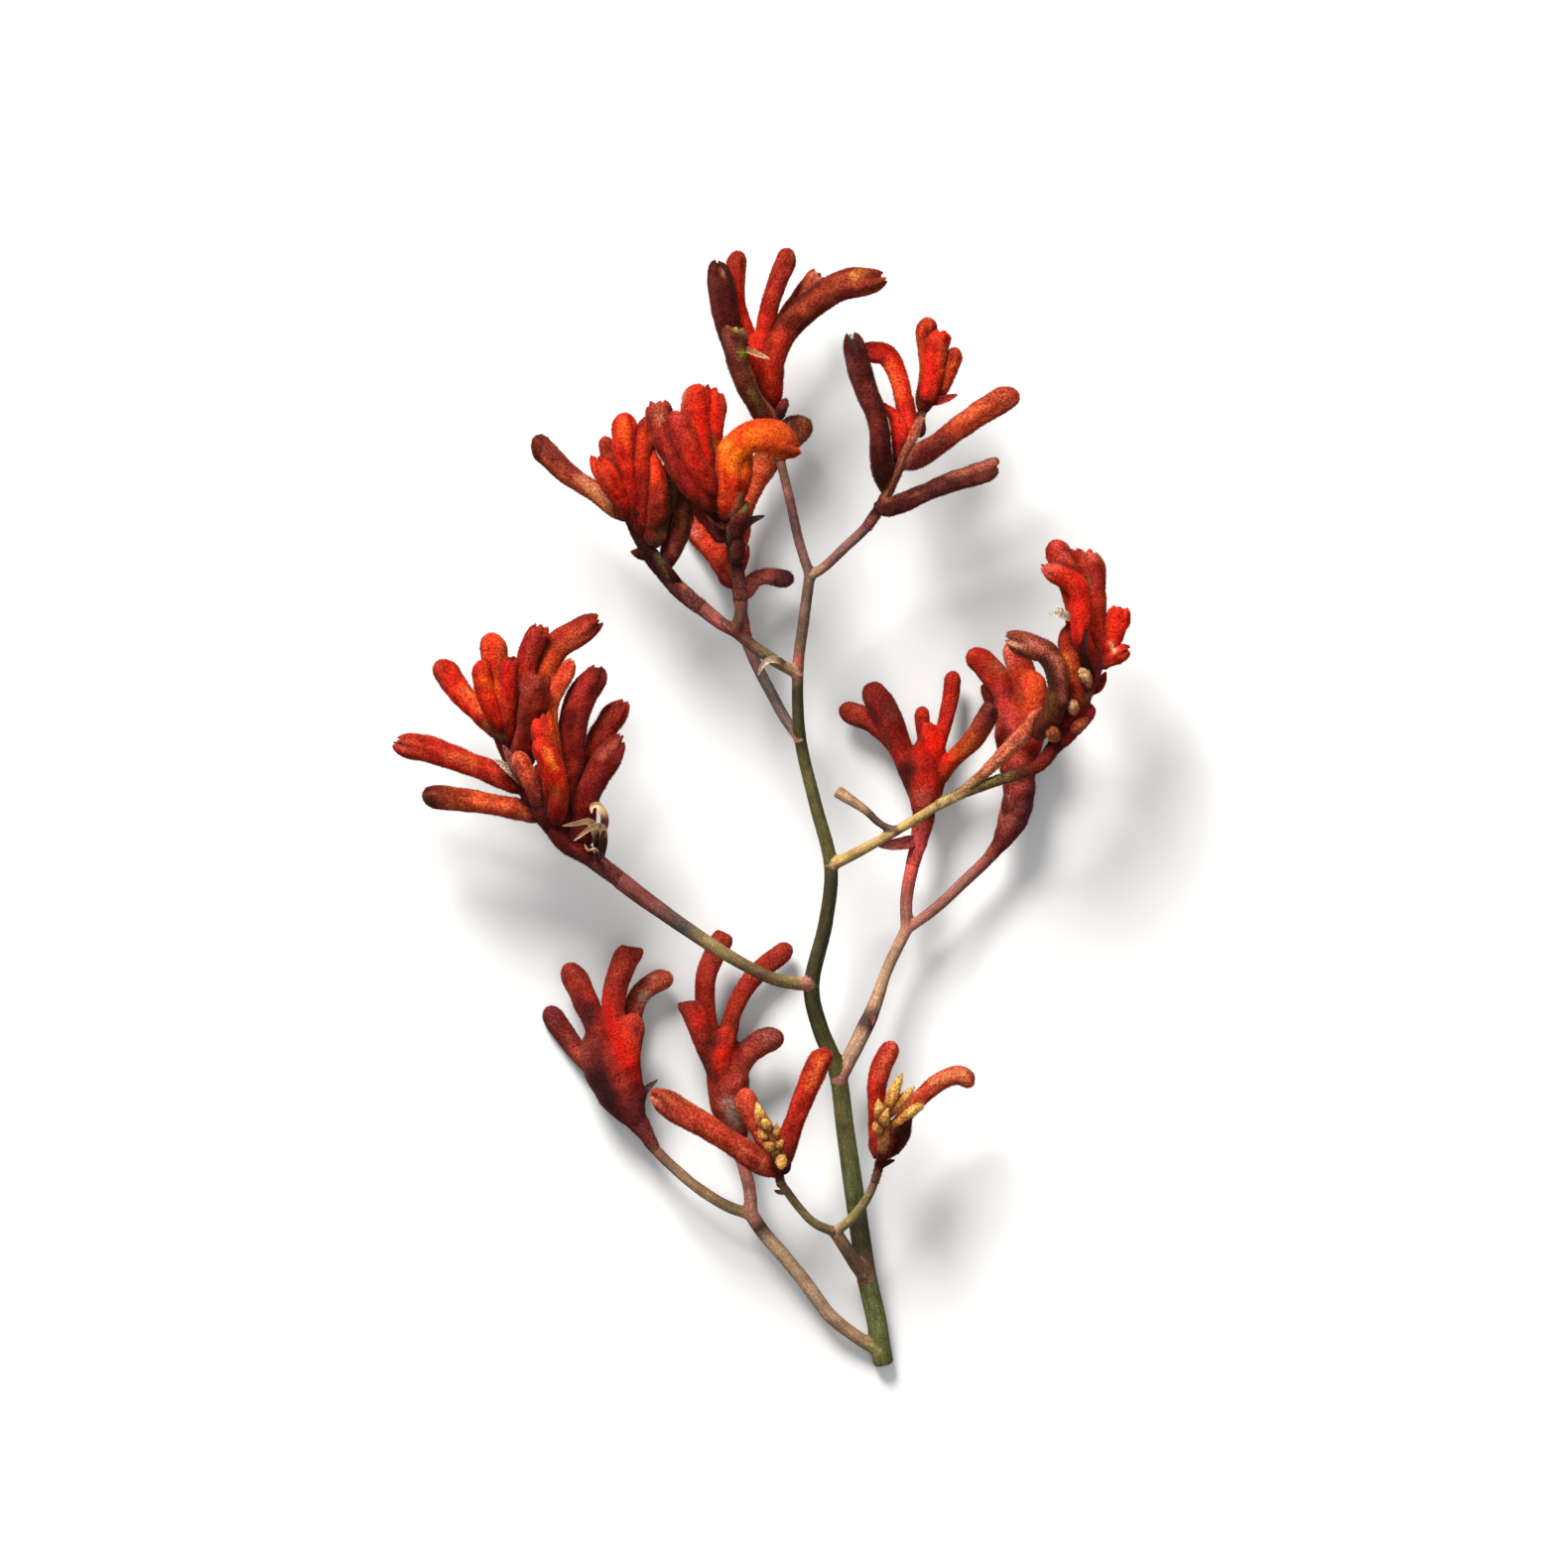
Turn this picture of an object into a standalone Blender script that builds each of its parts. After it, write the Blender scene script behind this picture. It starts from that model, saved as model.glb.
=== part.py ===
"""Kangaroo paw flower: one cut, branched flower stalk that lies on a flat surface.

The stalk is one grown piece: a zigzag main stem with its side branches, twigs and bracts. Each
branch ends in a flower head, a short axis with tubular felted flowers along it. The young buds at
the tip of two heads and the dry bracts of one head are pieces of their own colour.

Lengths are in metres and +Z is up. Seen from above, +Y runs from the cut end to the crown.
Places across the stalk are read from the reference photograph as (x, y) pixels, and every third
value of a place is its height above the surface in millimetres.
"""

import math

import bpy
import bmesh
from mathutils import Vector

MM = 0.001
PIXEL = 0.32 * MM  # real width of one pixel of the photograph, from a flower 40 mm long
ORIGIN_PIXEL = (768.2, 815.2)  # the pixel over the middle of the finished part
SEAT_GAP = 0.3 * MM  # between a branch's flat end and the head that it carries
BLADE_THICKNESS = 0.8  # of a bract, in millimetres

STEM_SIDES = 8
BRANCH_SIDES = 6
FLOWER_SIDES = 6  # one for each of the six perianth lobes
BUD_SIDES = 5
PALM_SIDES = 8  # of the broad foot that several flowers share

# The girth of a flower along its length, as shares of its length and of its full girth.
TUBE = [(0, 0.42), (0.12, 1.02), (0.25, 0.94), (0.42, 0.84), (0.65, 0.97), (0.85, 1.05)]
ROUND_END = [(0.94, 0.9), (1, 0.5)]
BEAK_END = [(0.93, 0.84), (1, 0.36)]
MOUTH_END = [(0.95, 0.98), (1, 0.84)]
PEAR = [(0, 0.4), (0.15, 0.72), (0.38, 1.0), (0.62, 0.86), (0.85, 0.5), (1, 0.24)]
PALM = [(0, 0.35), (0.14, 0.68), (0.34, 0.97), (0.55, 1.0), (0.78, 0.8), (1, 0.3)]
FORMS = {
    "round": TUBE + ROUND_END,
    "beak": TUBE + BEAK_END,
    "mouth": TUBE + MOUTH_END,
    "pear": PEAR,
    "palm": PALM,
    "horn": [(0, 0.4), (0.3, 0.55), (0.62, 0.8), (0.88, 1.0), (1, 0.6)],
    "knob": [(0, 0.5), (0.35, 0.86), (0.7, 1.0), (0.92, 0.7), (1, 0.3)],
}

# Main stem: its route and its girth in millimetres at the cut end and at the last fork.
STEM_ROUTE = [
    (891, 1378, 3.1), (888, 1362, 4.4), (883, 1330, 6), (873, 1285, 9), (862, 1210, 13),
    (852, 1140, 17), (844, 1082, 20.5), (826, 1035, 23.5), (818, 992, 26), (832, 930, 29),
    (837, 872, 31.5), (821, 808, 34), (806, 742, 36), (804, 676, 37.5), (810, 625, 38.5),
    (816, 580, 39),
]
STEM_GIRTHS = (6.8, 6.4, 5.2, 4.2, 3.7)

# Side branches and twigs: route, and girths along it.
BRANCHES = {
    "crown_branch": ([(816, 580, 39), (805, 545, 39), (795, 500, 39), (786, 462, 38.5)], (3.4, 3.2)),
    "upper_right_branch": ([(816, 580, 39), (830, 572, 39.5), (850, 553, 40), (874, 530, 41)], (3.4, 3.6)),
    "upper_left_trunk": ([(804, 679, 37.5), (784, 668, 41), (759, 651, 44), (742, 637, 45)], (3.8, 4.2)),
    "upper_left_branch": ([(742, 637, 45), (725, 627, 45), (705, 611, 44.5)], (4.2, 5.2)),
    "upper_middle_branch": ([(742, 637, 45), (746, 620, 47), (747, 602, 49)], (4.2, 4.4)),
    "upper_back_twig": (
        [(806, 745, 36), (790, 722, 30), (776, 696, 25), (762, 669, 22), (751, 640, 19.5)], (3.6, 4)),
    "left_branch": (
        [(818, 992, 26), (800, 991, 30), (773, 984, 35), (729, 960, 41), (688, 933, 44),
         (649, 905, 46), (624, 886, 46.5)], (4.6, 4.2, 5, 6)),
    "right_branch": (
        [(837, 872, 31.5), (862, 860, 36), (893, 843, 39), (925, 824, 41), (946, 811, 42)], (4.2, 3.3, 3.3)),
    "right_twig": (
        [(846, 1088, 20.5), (865, 1050, 19), (880, 1018, 18), (895, 976, 17), (914, 937, 16)], (5, 5.6, 4, 4)),
    "right_back_branch": ([(914, 937, 16), (914, 905, 16), (920, 872, 15.5)], (4, 4.6)),
    "right_middle_branch": ([(914, 937, 16), (943, 916, 15), (971, 890, 13), (997, 865, 12.5)], (3.6, 4.2)),
    "low_front_trunk": ([(873, 1290, 9), (863, 1276, 15), (853, 1260, 19), (842, 1243, 23)], (5, 4.4)),
    "low_left_branch": (
        [(842, 1243, 23), (820, 1233, 26), (804, 1216, 29), (793, 1201, 31), (787, 1193, 32)], (3.4, 3, 3)),
    "low_right_branch": (
        [(842, 1243, 23), (859, 1228, 26), (874, 1208, 28), (882, 1190, 29)], (3.4, 3.4, 2.8)),
    "lower_twig": (
        [(886, 1364, 4.4), (866, 1352, 5.5), (837, 1329, 8), (814, 1298, 10), (789, 1267, 12),
         (770, 1245, 13), (757, 1226, 13.5)], (4.4, 4.8, 4.8)),
    "lower_left_branch": (
        [(757, 1226, 13.5), (732, 1217, 13.5), (703, 1199, 13), (678, 1178, 12.5), (660, 1160, 12)], (4, 3.6)),
    "lower_middle_branch": ([(757, 1226, 13.5), (755, 1200, 12.5), (748, 1172, 12)], (4.4, 4.2)),
    "stunted_twig": ([(905, 837, 40), (888, 831, 39), (870, 815, 37.5), (843, 797, 36)], (2.4, 2.8, 4.4)),
}

# Small pointed bracts on the stalk: width in millimetres, and route.
STALK_BRACTS = [
    (2.2, [(804, 678, 38), (787, 665, 44), (772, 666, 46), (763, 677, 45), (760, 690, 43)]),
    (3.4, [(872, 1296, 9), (868, 1290, 14), (871, 1278, 15)]),
    (1.8, [(793, 1202, 31), (786, 1202, 30), (780, 1200, 30)]),
    (2.6, [(742, 637, 45), (734, 630, 48), (724, 622, 49)]),
    (2.6, [(870, 1028, 18), (878, 1030, 21), (880, 1018, 22)]),
]

# Flower heads: the axis with its girths, then each flower as its form, girth and route, then bracts.
HEADS = {
    "crown_head": {
        "colour": "rust_felt",
        "axis": ([(786, 462, 38.5), (784, 440, 38), (780, 415, 38), (772, 388, 38)], (3.6, 3)),
        "flowers": [
            ("mouth", 7.2, [(779, 430, 38), (757, 399, 50.4), (744, 366, 56), (741, 332, 57)]),
            ("beak", 8.2, [(779, 413, 38), (748, 368, 38), (731, 318, 41), (725, 267, 43)]),
            ("round", 6.2, [(778, 408, 38), (759, 352, 36), (741, 302, 34), (743, 252, 32)]),
            ("round", 6.2, [(777, 406, 38), (769, 350, 38), (778, 300, 38), (797, 251, 37)]),
            ("mouth", 8.0, [(775, 398, 37), (782, 343, 30), (806, 306, 27), (827, 278, 25)]),
            ("beak", 9.3, [(778, 408, 39), (776, 367, 45.3), (798, 327, 49), (838, 294, 51), (885, 279, 50)]),
            ("round", 8.4, [(778, 410, 38), (768, 386, 42), (765, 362, 44), (764, 334, 42)]),
            ("knob", 3.8, [(783, 426, 38), (787, 414, 42), (792, 402, 43)]),
        ],
        "bracts": [
            (2.2, [(747, 352, 56), (758, 356, 61), (776, 364, 62)]),
            (2.4, [(785, 440, 38), (792, 432, 42), (797, 424, 43)]),
        ],
    },
    "upper_right_head": {
        "colour": "rust_felt",
        "axis": ([(874, 530, 41), (890, 505, 42), (904, 475, 42), (916, 446, 42), (929, 416, 41),
                  (936, 402, 40)], (3.6, 3.4, 2.8)),
        "flowers": [
            ("mouth", 6.6, [(882, 513, 42), (906, 508, 44), (951, 489, 46), (1005, 472, 47)]),
            ("round", 8.0, [(907, 468, 42), (936, 454, 46), (977, 424, 48), (1024, 394, 48)]),
            ("beak", 7.5, [(893, 494, 42), (888, 462, 47), (884, 424, 51), (869, 384, 53), (858, 341, 54)]),
            ("round", 6.6, [(919, 440, 42), (911, 404, 38), (903, 373, 35), (890, 356, 34), (867, 356, 34)]),
            ("pear", 6.0, [(905, 471, 42), (907, 444, 44), (903, 424, 43), (891, 405, 41)]),
            ("round", 6.6, [(930, 414, 41), (935, 385, 39), (935, 354, 37), (932, 320, 36)]),
            ("mouth", 7.6, [(933, 408, 41), (939, 380, 41), (941, 358, 40), (945, 337, 39)]),
            ("round", 5.2, [(935, 404, 40), (949, 391, 39), (957, 373, 38), (965, 351, 38)]),
        ],
        "bracts": [
            (3.0, [(934, 406, 40), (950, 403, 43), (965, 398, 44)]),
            (2.6, [(908, 466, 42), (919, 462, 46), (922, 448, 47)]),
            (2.6, [(920, 438, 42), (929, 436, 45), (931, 424, 46)]),
        ],
    },
    "upper_left_head": {
        "colour": "bright_felt",
        "axis": ([(705, 611, 44.5), (685, 595, 44.5), (666, 573, 44.5), (651, 552, 44), (640, 532, 43),
                  (632, 514, 42)], (5.2, 5.4, 3.8)),
        "flowers": [
            ("mouth", 7.2, [(636, 522, 43), (603, 498, 40), (568, 474, 37), (537, 442, 34)]),
            ("beak", 7.8, [(637, 522, 44), (625, 500, 50), (614, 481, 53), (606, 463, 54)]),
            ("round", 5.0, [(640, 527, 43), (625, 490, 40), (614, 462, 38), (610, 440, 38)]),
            ("round", 7.8, [(643, 531, 44), (635, 490, 50), (630, 450, 52), (629, 417, 52)]),
            ("beak", 8.0, [(648, 538, 44), (646, 495, 49), (648, 456, 51), (658, 427, 51)]),
            ("pear", 7.4, [(656, 545, 45), (664, 512, 51), (664, 484, 54), (659, 453, 54)]),
            ("round", 7.6, [(658, 550, 44), (664, 522, 48), (673, 496, 49), (683, 466, 49)]),
            ("pear", 7.4, [(669, 573, 44), (677, 548, 41), (682, 521, 40), (688, 498, 40)]),
            ("pear", 4.8, [(661, 555, 44), (650, 558, 44), (636, 555, 43)]),
        ],
        "bracts": [
            (2.6, [(652, 543, 45), (643, 522, 50), (638, 510, 52)]),
            (3.0, [(686, 593, 45), (677, 578, 49), (669, 568, 50)]),
        ],
    },
    "upper_middle_head": {
        "colour": "bright_felt",
        "axis": ([(747, 602, 49), (744, 580, 51), (740, 558, 53), (735, 535, 54), (727, 512, 55),
                  (720, 497, 55)], (4.4, 4, 3.4)),
        "flowers": [
            ("round", 8.8, [(720, 500, 55), (709, 465, 59), (701, 425, 60), (702, 389, 59)]),
            ("mouth", 8.6, [(722, 502, 55), (719, 465, 56), (716, 430, 56), (722, 397, 55)]),
            ("beak", 10.2, [(733, 522, 56), (736, 489, 61), (738, 456, 64), (767, 440, 64), (803, 449, 61)]),
            ("round", 8.2, [(724, 506, 56), (706, 478, 65), (691, 450, 68), (680, 416, 67)]),
            ("mouth", 8.4, [(727, 512, 56), (696, 488, 63), (675, 452, 66), (662, 411, 65)]),
            ("round", 8.2, [(735, 543, 54), (718, 524, 52), (702, 499, 51)]),
            ("pear", 6.8, [(737, 548, 54), (745, 526, 59), (752, 506, 60)]),
            ("pear", 5.2, [(741, 572, 52), (744, 553, 56), (742, 534, 58)]),
        ],
        "bracts": [
            (3.0, [(740, 548, 53), (753, 528, 52), (771, 520, 51)]),
            (2.4, [(735, 540, 54), (723, 535, 60), (712, 520, 62)]),
        ],
    },
    "upper_back_head": {
        "colour": "bright_felt",
        "axis": ([(751, 640, 19.5), (746, 610, 17), (742, 580, 15), (739, 552, 14)], (4, 3.6)),
        "flowers": [
            ("round", 8.4, [(743, 588, 16), (724, 560, 8), (705, 535, 3.8), (691, 507, 3.4)]),
            ("round", 5.6, [(747, 600, 17), (761, 583, 14), (777, 580, 12), (799, 585, 10)]),
            ("beak", 9.6, [(740, 556, 14), (747, 509, 14), (774, 461, 14), (813, 419, 13)]),
        ],
        "bracts": [(2.6, [(743, 582, 15), (752, 560, 19), (754, 548, 20)])],
    },
    "left_head": {
        "colour": "rust_felt",
        "axis": ([(624, 886, 46.5), (600, 867, 47), (572, 849, 47), (551, 825, 46.5), (533, 799, 45),
                  (516, 767, 44), (504, 738, 43)], (5.4, 6.6, 6, 5)),
        "flowers": [
            ("beak", 8.3, [(534, 793, 45), (500, 780, 41), (450, 761, 37), (402, 746, 34)]),
            ("round", 7.6, [(552, 820, 46), (520, 815, 43), (475, 807, 41), (426, 802, 39)]),
            ("round", 7.8, [(510, 740, 43), (485, 719, 38), (462, 696, 34), (443, 665, 31)]),
            ("round", 8.4, [(513, 747, 44), (505, 710, 49), (500, 675, 51), (497, 638, 51)]),
            ("round", 6.2, [(512, 744, 44), (496, 716, 52), (488, 691, 55), (484, 666, 56)]),
            ("mouth", 5.6, [(516, 752, 44), (514, 716, 53), (513, 690, 56), (515, 664, 57)]),
            ("mouth", 7.0, [(520, 762, 44), (526, 712, 42), (530, 670, 41), (543, 633, 41)]),
            ("beak", 8.8, [(524, 770, 43), (543, 712, 38), (558, 655, 36), (603, 628, 35)]),
            ("mouth", 8.8, [(525, 772, 45), (533, 738, 56), (539, 706, 64), (542, 679, 67)]),
            ("beak", 5.4, [(562, 830, 48), (562, 776, 57), (555, 714, 58), (577, 668, 53)]),
            ("beak", 9.4, [(570, 840, 47), (575, 780, 51), (579, 724, 51), (598, 675, 49)]),
            ("beak", 7.6, [(580, 848, 47), (586, 796, 44), (602, 748, 42), (627, 708, 40)]),
            ("beak", 8.8, [(586, 853, 47), (590, 812, 53), (605, 776, 54), (627, 749, 52)]),
            ("mouth", 7.4, [(556, 824, 48), (557, 787, 59), (551, 752, 63), (545, 722, 64)]),
            ("round", 7.2, [(560, 828, 48), (564, 797, 61), (555, 767, 66), (541, 744, 67)]),
            ("round", 5.6, [(548, 815, 47), (541, 801, 56), (533, 782, 60), (521, 758, 61)]),
        ],
        "bracts": [
            (4.0, [(536, 796, 47), (520, 774, 53), (508, 751, 55)]),
            (3.4, [(534, 794, 45), (515, 776, 49), (499, 765, 50)]),
            (3.4, [(602, 864, 48), (590, 856, 53), (572, 850, 54)]),
        ],
    },
    "lower_left_head": {
        "colour": "maroon_felt",
        "axis": ([(660, 1160, 12), (649, 1142, 12), (637, 1124, 12), (630, 1103, 12), (627, 1080, 12)],
                 (3.6, 6.6, 9, 8)),
        "flowers": [
            ("round", 7.0, [(636, 1126, 12), (603, 1086, 7), (573, 1051, 3.2), (549, 1016, 2.9)]),
            ("round", 8.2, [(638, 1120, 12), (611, 1060, 12), (590, 1012, 12), (571, 971, 11)]),
            ("mouth", 8.0, [(638, 1114, 12), (620, 1052, 16), (619, 1000, 17), (634, 955, 17)]),
            ("round", 6.8, [(638, 1110, 12), (635, 1056, 9), (642, 1006, 8), (676, 982, 8)]),
            ("mouth", 8.2, [(641, 1118, 12), (634, 1082, 17), (634, 1052, 19), (641, 1022, 19)]),
            ("palm", 11.5, [(640, 1136, 12), (618, 1104, 12), (600, 1070, 12), (590, 1040, 12)]),
            ("palm", 13.0, [(643, 1140, 12), (629, 1102, 14), (621, 1066, 15), (616, 1030, 14)]),
        ],
        "bracts": [(3.0, [(642, 1128, 12), (648, 1103, 15), (662, 1089, 16)])],
    },
    "lower_middle_head": {
        "colour": "maroon_felt",
        "axis": ([(748, 1172, 12), (741, 1145, 12), (738, 1120, 12), (733, 1096, 12), (729, 1076, 12)],
                 (4.2, 6, 7)),
        "flowers": [
            ("mouth", 6.9, [(733, 1098, 12), (714, 1036, 12), (711, 986, 13), (730, 942, 13)]),
            ("round", 6.6, [(731, 1086, 12), (736, 1030, 9), (758, 987, 8), (798, 954, 7)]),
            ("round", 8.2, [(738, 1122, 12), (742, 1084, 14), (758, 1058, 15), (788, 1041, 15)]),
            ("mouth", 7.2, [(735, 1108, 12), (714, 1064, 16), (704, 1036, 18), (694, 1010, 18)]),
            ("round", 7.4, [(736, 1112, 12), (728, 1086, 17), (727, 1060, 19), (733, 1034, 19)]),
            ("palm", 14.0, [(745, 1152, 12), (736, 1114, 13), (733, 1080, 14), (736, 1042, 14)]),
        ],
        "bracts": [(2.8, [(741, 1140, 12), (750, 1122, 17), (755, 1106, 18)])],
    },
    "low_left_head": {
        "colour": "bright_felt",
        "axis": ([(787, 1193, 32), (785, 1183, 33.5), (784, 1174, 37), (784, 1167, 40.5)], (3, 2.8)),
        "flowers": [
            ("beak", 8.4, [(785, 1181, 33), (757, 1165, 34), (713, 1136, 36), (658, 1105, 38)]),
            ("round", 7.2, [(785, 1179, 34), (795, 1146, 35.5), (811, 1103, 38), (831, 1056, 38)]),
            ("round", 7.0, [(785, 1181, 33), (768, 1143, 31), (757, 1122, 32), (746, 1099, 33)]),
        ],
        "bracts": [(2.2, [(785, 1182, 34), (793, 1179, 36), (797, 1172, 37)])],
    },
    "low_right_head": {
        "colour": "bright_felt",
        "axis": ([(882, 1190, 29), (886, 1175, 30.5), (888, 1165, 34), (889, 1158, 37.5)], (2.8, 2.8)),
        "flowers": [
            ("round", 6.4, [(886, 1168, 31), (884, 1124, 31), (885, 1086, 32), (900, 1050, 32)]),
            ("round", 5.8, [(886, 1170, 31), (915, 1121, 30), (945, 1092, 31), (967, 1084, 30),
                            (981, 1093, 29)]),
            ("pear", 8.6, [(885, 1167, 30), (901, 1149, 29), (918, 1125, 29)]),
        ],
        "bracts": [(2.4, [(884, 1177, 30), (893, 1172, 33), (902, 1169, 34)])],
    },
    "right_back_head": {
        "colour": "maroon_felt",
        "axis": ([(920, 872, 15.5), (926, 850, 15), (931, 825, 15), (932, 800, 15), (933, 782, 15)],
                 (4.6, 6, 8, 8)),
        "flowers": [
            ("round", 7.2, [(931, 812, 15), (907, 756, 12), (879, 727, 10), (845, 715, 9)]),
            ("round", 8.6, [(932, 804, 15), (909, 756, 17), (893, 716, 18), (871, 691, 18)]),
            ("round", 5.0, [(933, 786, 15), (932, 756, 14), (931, 735, 14), (928, 711, 14)]),
            ("round", 5.4, [(933, 786, 15), (948, 745, 12), (957, 711, 10), (962, 675, 9)]),
            ("mouth", 6.7, [(932, 801, 15), (957, 769, 20), (982, 744, 25), (1001, 711, 28)]),
            ("palm", 12.5, [(930, 828, 15), (933, 796, 16), (936, 764, 17), (938, 730, 17)]),
            ("mouth", 7.6, [(932, 798, 15), (939, 772, 19), (941, 750, 20), (941, 731, 19)]),
        ],
        "bracts": [(4.4, [(925, 846, 16), (909, 850, 20), (885, 853, 21)])],
    },
    "right_middle_head": {
        "colour": "maroon_felt",
        "axis": ([(997, 865, 12.5), (1013, 841, 12.5), (1023, 815, 12.5), (1029, 786, 12), (1032, 764, 12)],
                 (4.2, 6.4, 9)),
        "flowers": [
            ("round", 8.6, [(1028, 788, 12), (1024, 742, 14), (1012, 694, 15), (979, 653, 15)]),
            ("round", 8.2, [(1031, 776, 12), (1037, 730, 18), (1035, 690, 20), (1018, 645, 19)]),
            ("mouth", 8.4, [(1029, 792, 12), (1025, 752, 6), (1013, 717, 3.9), (999, 686, 3.9)]),
            ("round", 8.4, [(1032, 768, 12), (1043, 737, 21), (1044, 706, 24), (1040, 675, 24)]),
            ("palm", 14.0, [(1024, 812, 13), (1027, 772, 14), (1023, 728, 15), (1014, 686, 15)]),
            ("palm", 10.4, [(1006, 857, 12), (1021, 827, 13), (1030, 794, 14), (1033, 762, 14)]),
        ],
        "bracts": [(3.2, [(1018, 828, 14), (1014, 808, 21), (1019, 792, 23)])],
    },
    "right_head": {
        "colour": "rust_felt",
        "axis": ([(946, 811, 42), (968, 800, 43), (1000, 788, 44), (1025, 780, 44.5), (1049, 769, 45),
                  (1066, 745, 46), (1081, 722, 46), (1095, 697, 46), (1105, 672, 45), (1106, 656, 44)],
                 (3.3, 3.4, 4.6, 4.4, 3.6)),
        "flowers": [
            ("beak", 7.6, [(1044, 742, 47), (1061, 716, 54), (1065, 687, 58), (1054, 659, 58),
                           (1016, 647, 55)]),
            ("horn", 7.0, [(966, 800, 43), (988, 782, 45), (1015, 756, 46), (1054, 716, 48)]),
            ("knob", 5.0, [(1066, 746, 47), (1062, 742, 53), (1058, 732, 58)]),
            ("knob", 4.8, [(1083, 722, 46), (1081, 717, 52), (1077, 707, 56)]),
            ("knob", 4.8, [(1097, 697, 46), (1095, 688, 52), (1089, 674, 56)]),
            ("knob", 4.4, [(1076, 740, 46), (1084, 733, 50), (1094, 724, 52)]),
            ("palm", 9.6, [(1060, 758, 45), (1074, 730, 46), (1086, 700, 47), (1096, 668, 47)]),
            ("round", 8.4, [(1083, 722, 46), (1082, 698, 50), (1081, 668, 51), (1077, 629, 50)]),
            ("round", 6.2, [(1064, 749, 46), (1078, 737, 47), (1090, 723, 46), (1098, 709, 45)]),
            ("mouth", 10.4, [(1106, 670, 45), (1101, 632, 44), (1098, 594, 43), (1096, 557, 43)]),
            ("round", 8.0, [(1104, 674, 46), (1087, 646, 51), (1081, 598, 53), (1060, 546, 51)]),
            ("beak", 7.0, [(1102, 678, 46), (1088, 640, 55), (1086, 595, 57), (1054, 573, 56)]),
            ("mouth", 7.4, [(1107, 666, 45), (1117, 652, 46), (1123, 634, 47), (1129, 615, 47)]),
            ("beak", 5.6, [(1107, 668, 45), (1118, 664, 48), (1136, 657, 49)]),
        ],
        "bracts": [
            (4.4, [(1100, 684, 48), (1091, 662, 58), (1094, 633, 61)]),
            (3.6, [(1097, 699, 45), (1107, 691, 44), (1114, 677, 43)]),
            (3.0, [(1084, 626, 55), (1071, 619, 56), (1056, 618, 56)]),
        ],
    },
}

# Young buds at the tip of two heads: the axis goes on from the head's own axis.
YOUNG_BUDS = {
    "low_left_buds": {
        "axis": ([(784, 1167, 40.5), (782, 1160, 43.5), (779, 1150, 45), (774, 1136, 46)], (2.8, 2.4)),
        "buds": [
            (4.6, [(776, 1140, 44), (770, 1128, 46), (765, 1113, 46)]),
            (4.4, [(779, 1146, 44), (780, 1140, 46), (778, 1133, 46)]),
            (4.4, [(778, 1144, 44), (771, 1143, 46), (765, 1138, 46)]),
            (5.0, [(780, 1150, 43), (775, 1153, 46), (768, 1154, 47)]),
            (4.2, [(781, 1150, 43), (786, 1152, 46), (789, 1149, 46)]),
            (4.2, [(782, 1156, 41), (788, 1163, 44), (790, 1175, 45)]),
            (3.9, [(775, 1137, 45), (774, 1130, 48), (772, 1122, 49)]),
        ],
    },
    "low_right_buds": {
        "axis": ([(889, 1158, 37.5), (890, 1151, 39.5), (891, 1138, 41), (893, 1122, 42)], (2.8, 2.4)),
        "buds": [
            (4.4, [(892, 1124, 41), (898, 1104, 42), (907, 1082, 42)]),
            (5.2, [(891, 1130, 40), (887, 1117, 44), (885, 1104, 45)]),
            (3.6, [(890, 1138, 39), (908, 1124, 40), (929, 1110, 40)]),
            (4.2, [(892, 1126, 41), (905, 1111, 41), (922, 1095, 40)]),
            (4.4, [(890, 1134, 40), (890, 1127, 45), (895, 1118, 46)]),
            (3.6, [(890, 1140, 39), (884, 1138, 43), (881, 1131, 44)]),
        ],
    },
}

# Dry papery bracts that curl over the foot of the left head.
DRY_BRACTS = [
    (4.6, [(603, 866, 50.3), (604, 861, 55), (600, 838, 64), (586, 829, 66), (566, 831, 65)]),
    (4.2, [(605, 864, 51.2), (606, 858, 56), (603, 845, 66), (592, 840, 68), (576, 846, 67)]),
    (3.8, [(602, 865, 51.4), (606, 859, 56), (607, 832, 63), (605, 814, 66), (597, 810, 66)]),
    (3.8, [(601, 865, 51.3), (602, 862, 56), (603, 854, 62), (595, 850, 64), (589, 857, 62)]),
]

COLOURS = {
    "stem": (0.24, 0.26, 0.10),
    "rust_felt": (0.40, 0.06, 0.03),
    "bright_felt": (0.62, 0.07, 0.02),
    "maroon_felt": (0.33, 0.05, 0.04),
    "golden_buds": (0.72, 0.42, 0.13),
    "dry_bracts": (0.66, 0.52, 0.34),
}


def place(point):
    """The point in metres of a place given as photograph pixels and a height in millimetres."""
    x, y, height = point
    return Vector(((x - ORIGIN_PIXEL[0]) * PIXEL, (ORIGIN_PIXEL[1] - y) * PIXEL, height * MM))


def curve_through(points, before=None, after=None, steps=24):
    """A smooth line through the points: a Catmull-Rom curve that heads on from the point before
    and to the point after, or straight on where there is none."""
    first = before or 2 * points[0] - points[1]
    last = after or 2 * points[-1] - points[-2]
    ends = [first, *points, last]
    line = []
    for a, b, c, d in zip(ends, ends[1:], ends[2:], ends[3:]):
        for step in range(steps):
            t = step / steps
            line.append(0.5 * (2 * b + (c - a) * t + (2 * a - 5 * b + 4 * c - d) * t**2
                               + (3 * b - a - 3 * c + d) * t**3))
    return line + [points[-1]]


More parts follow.
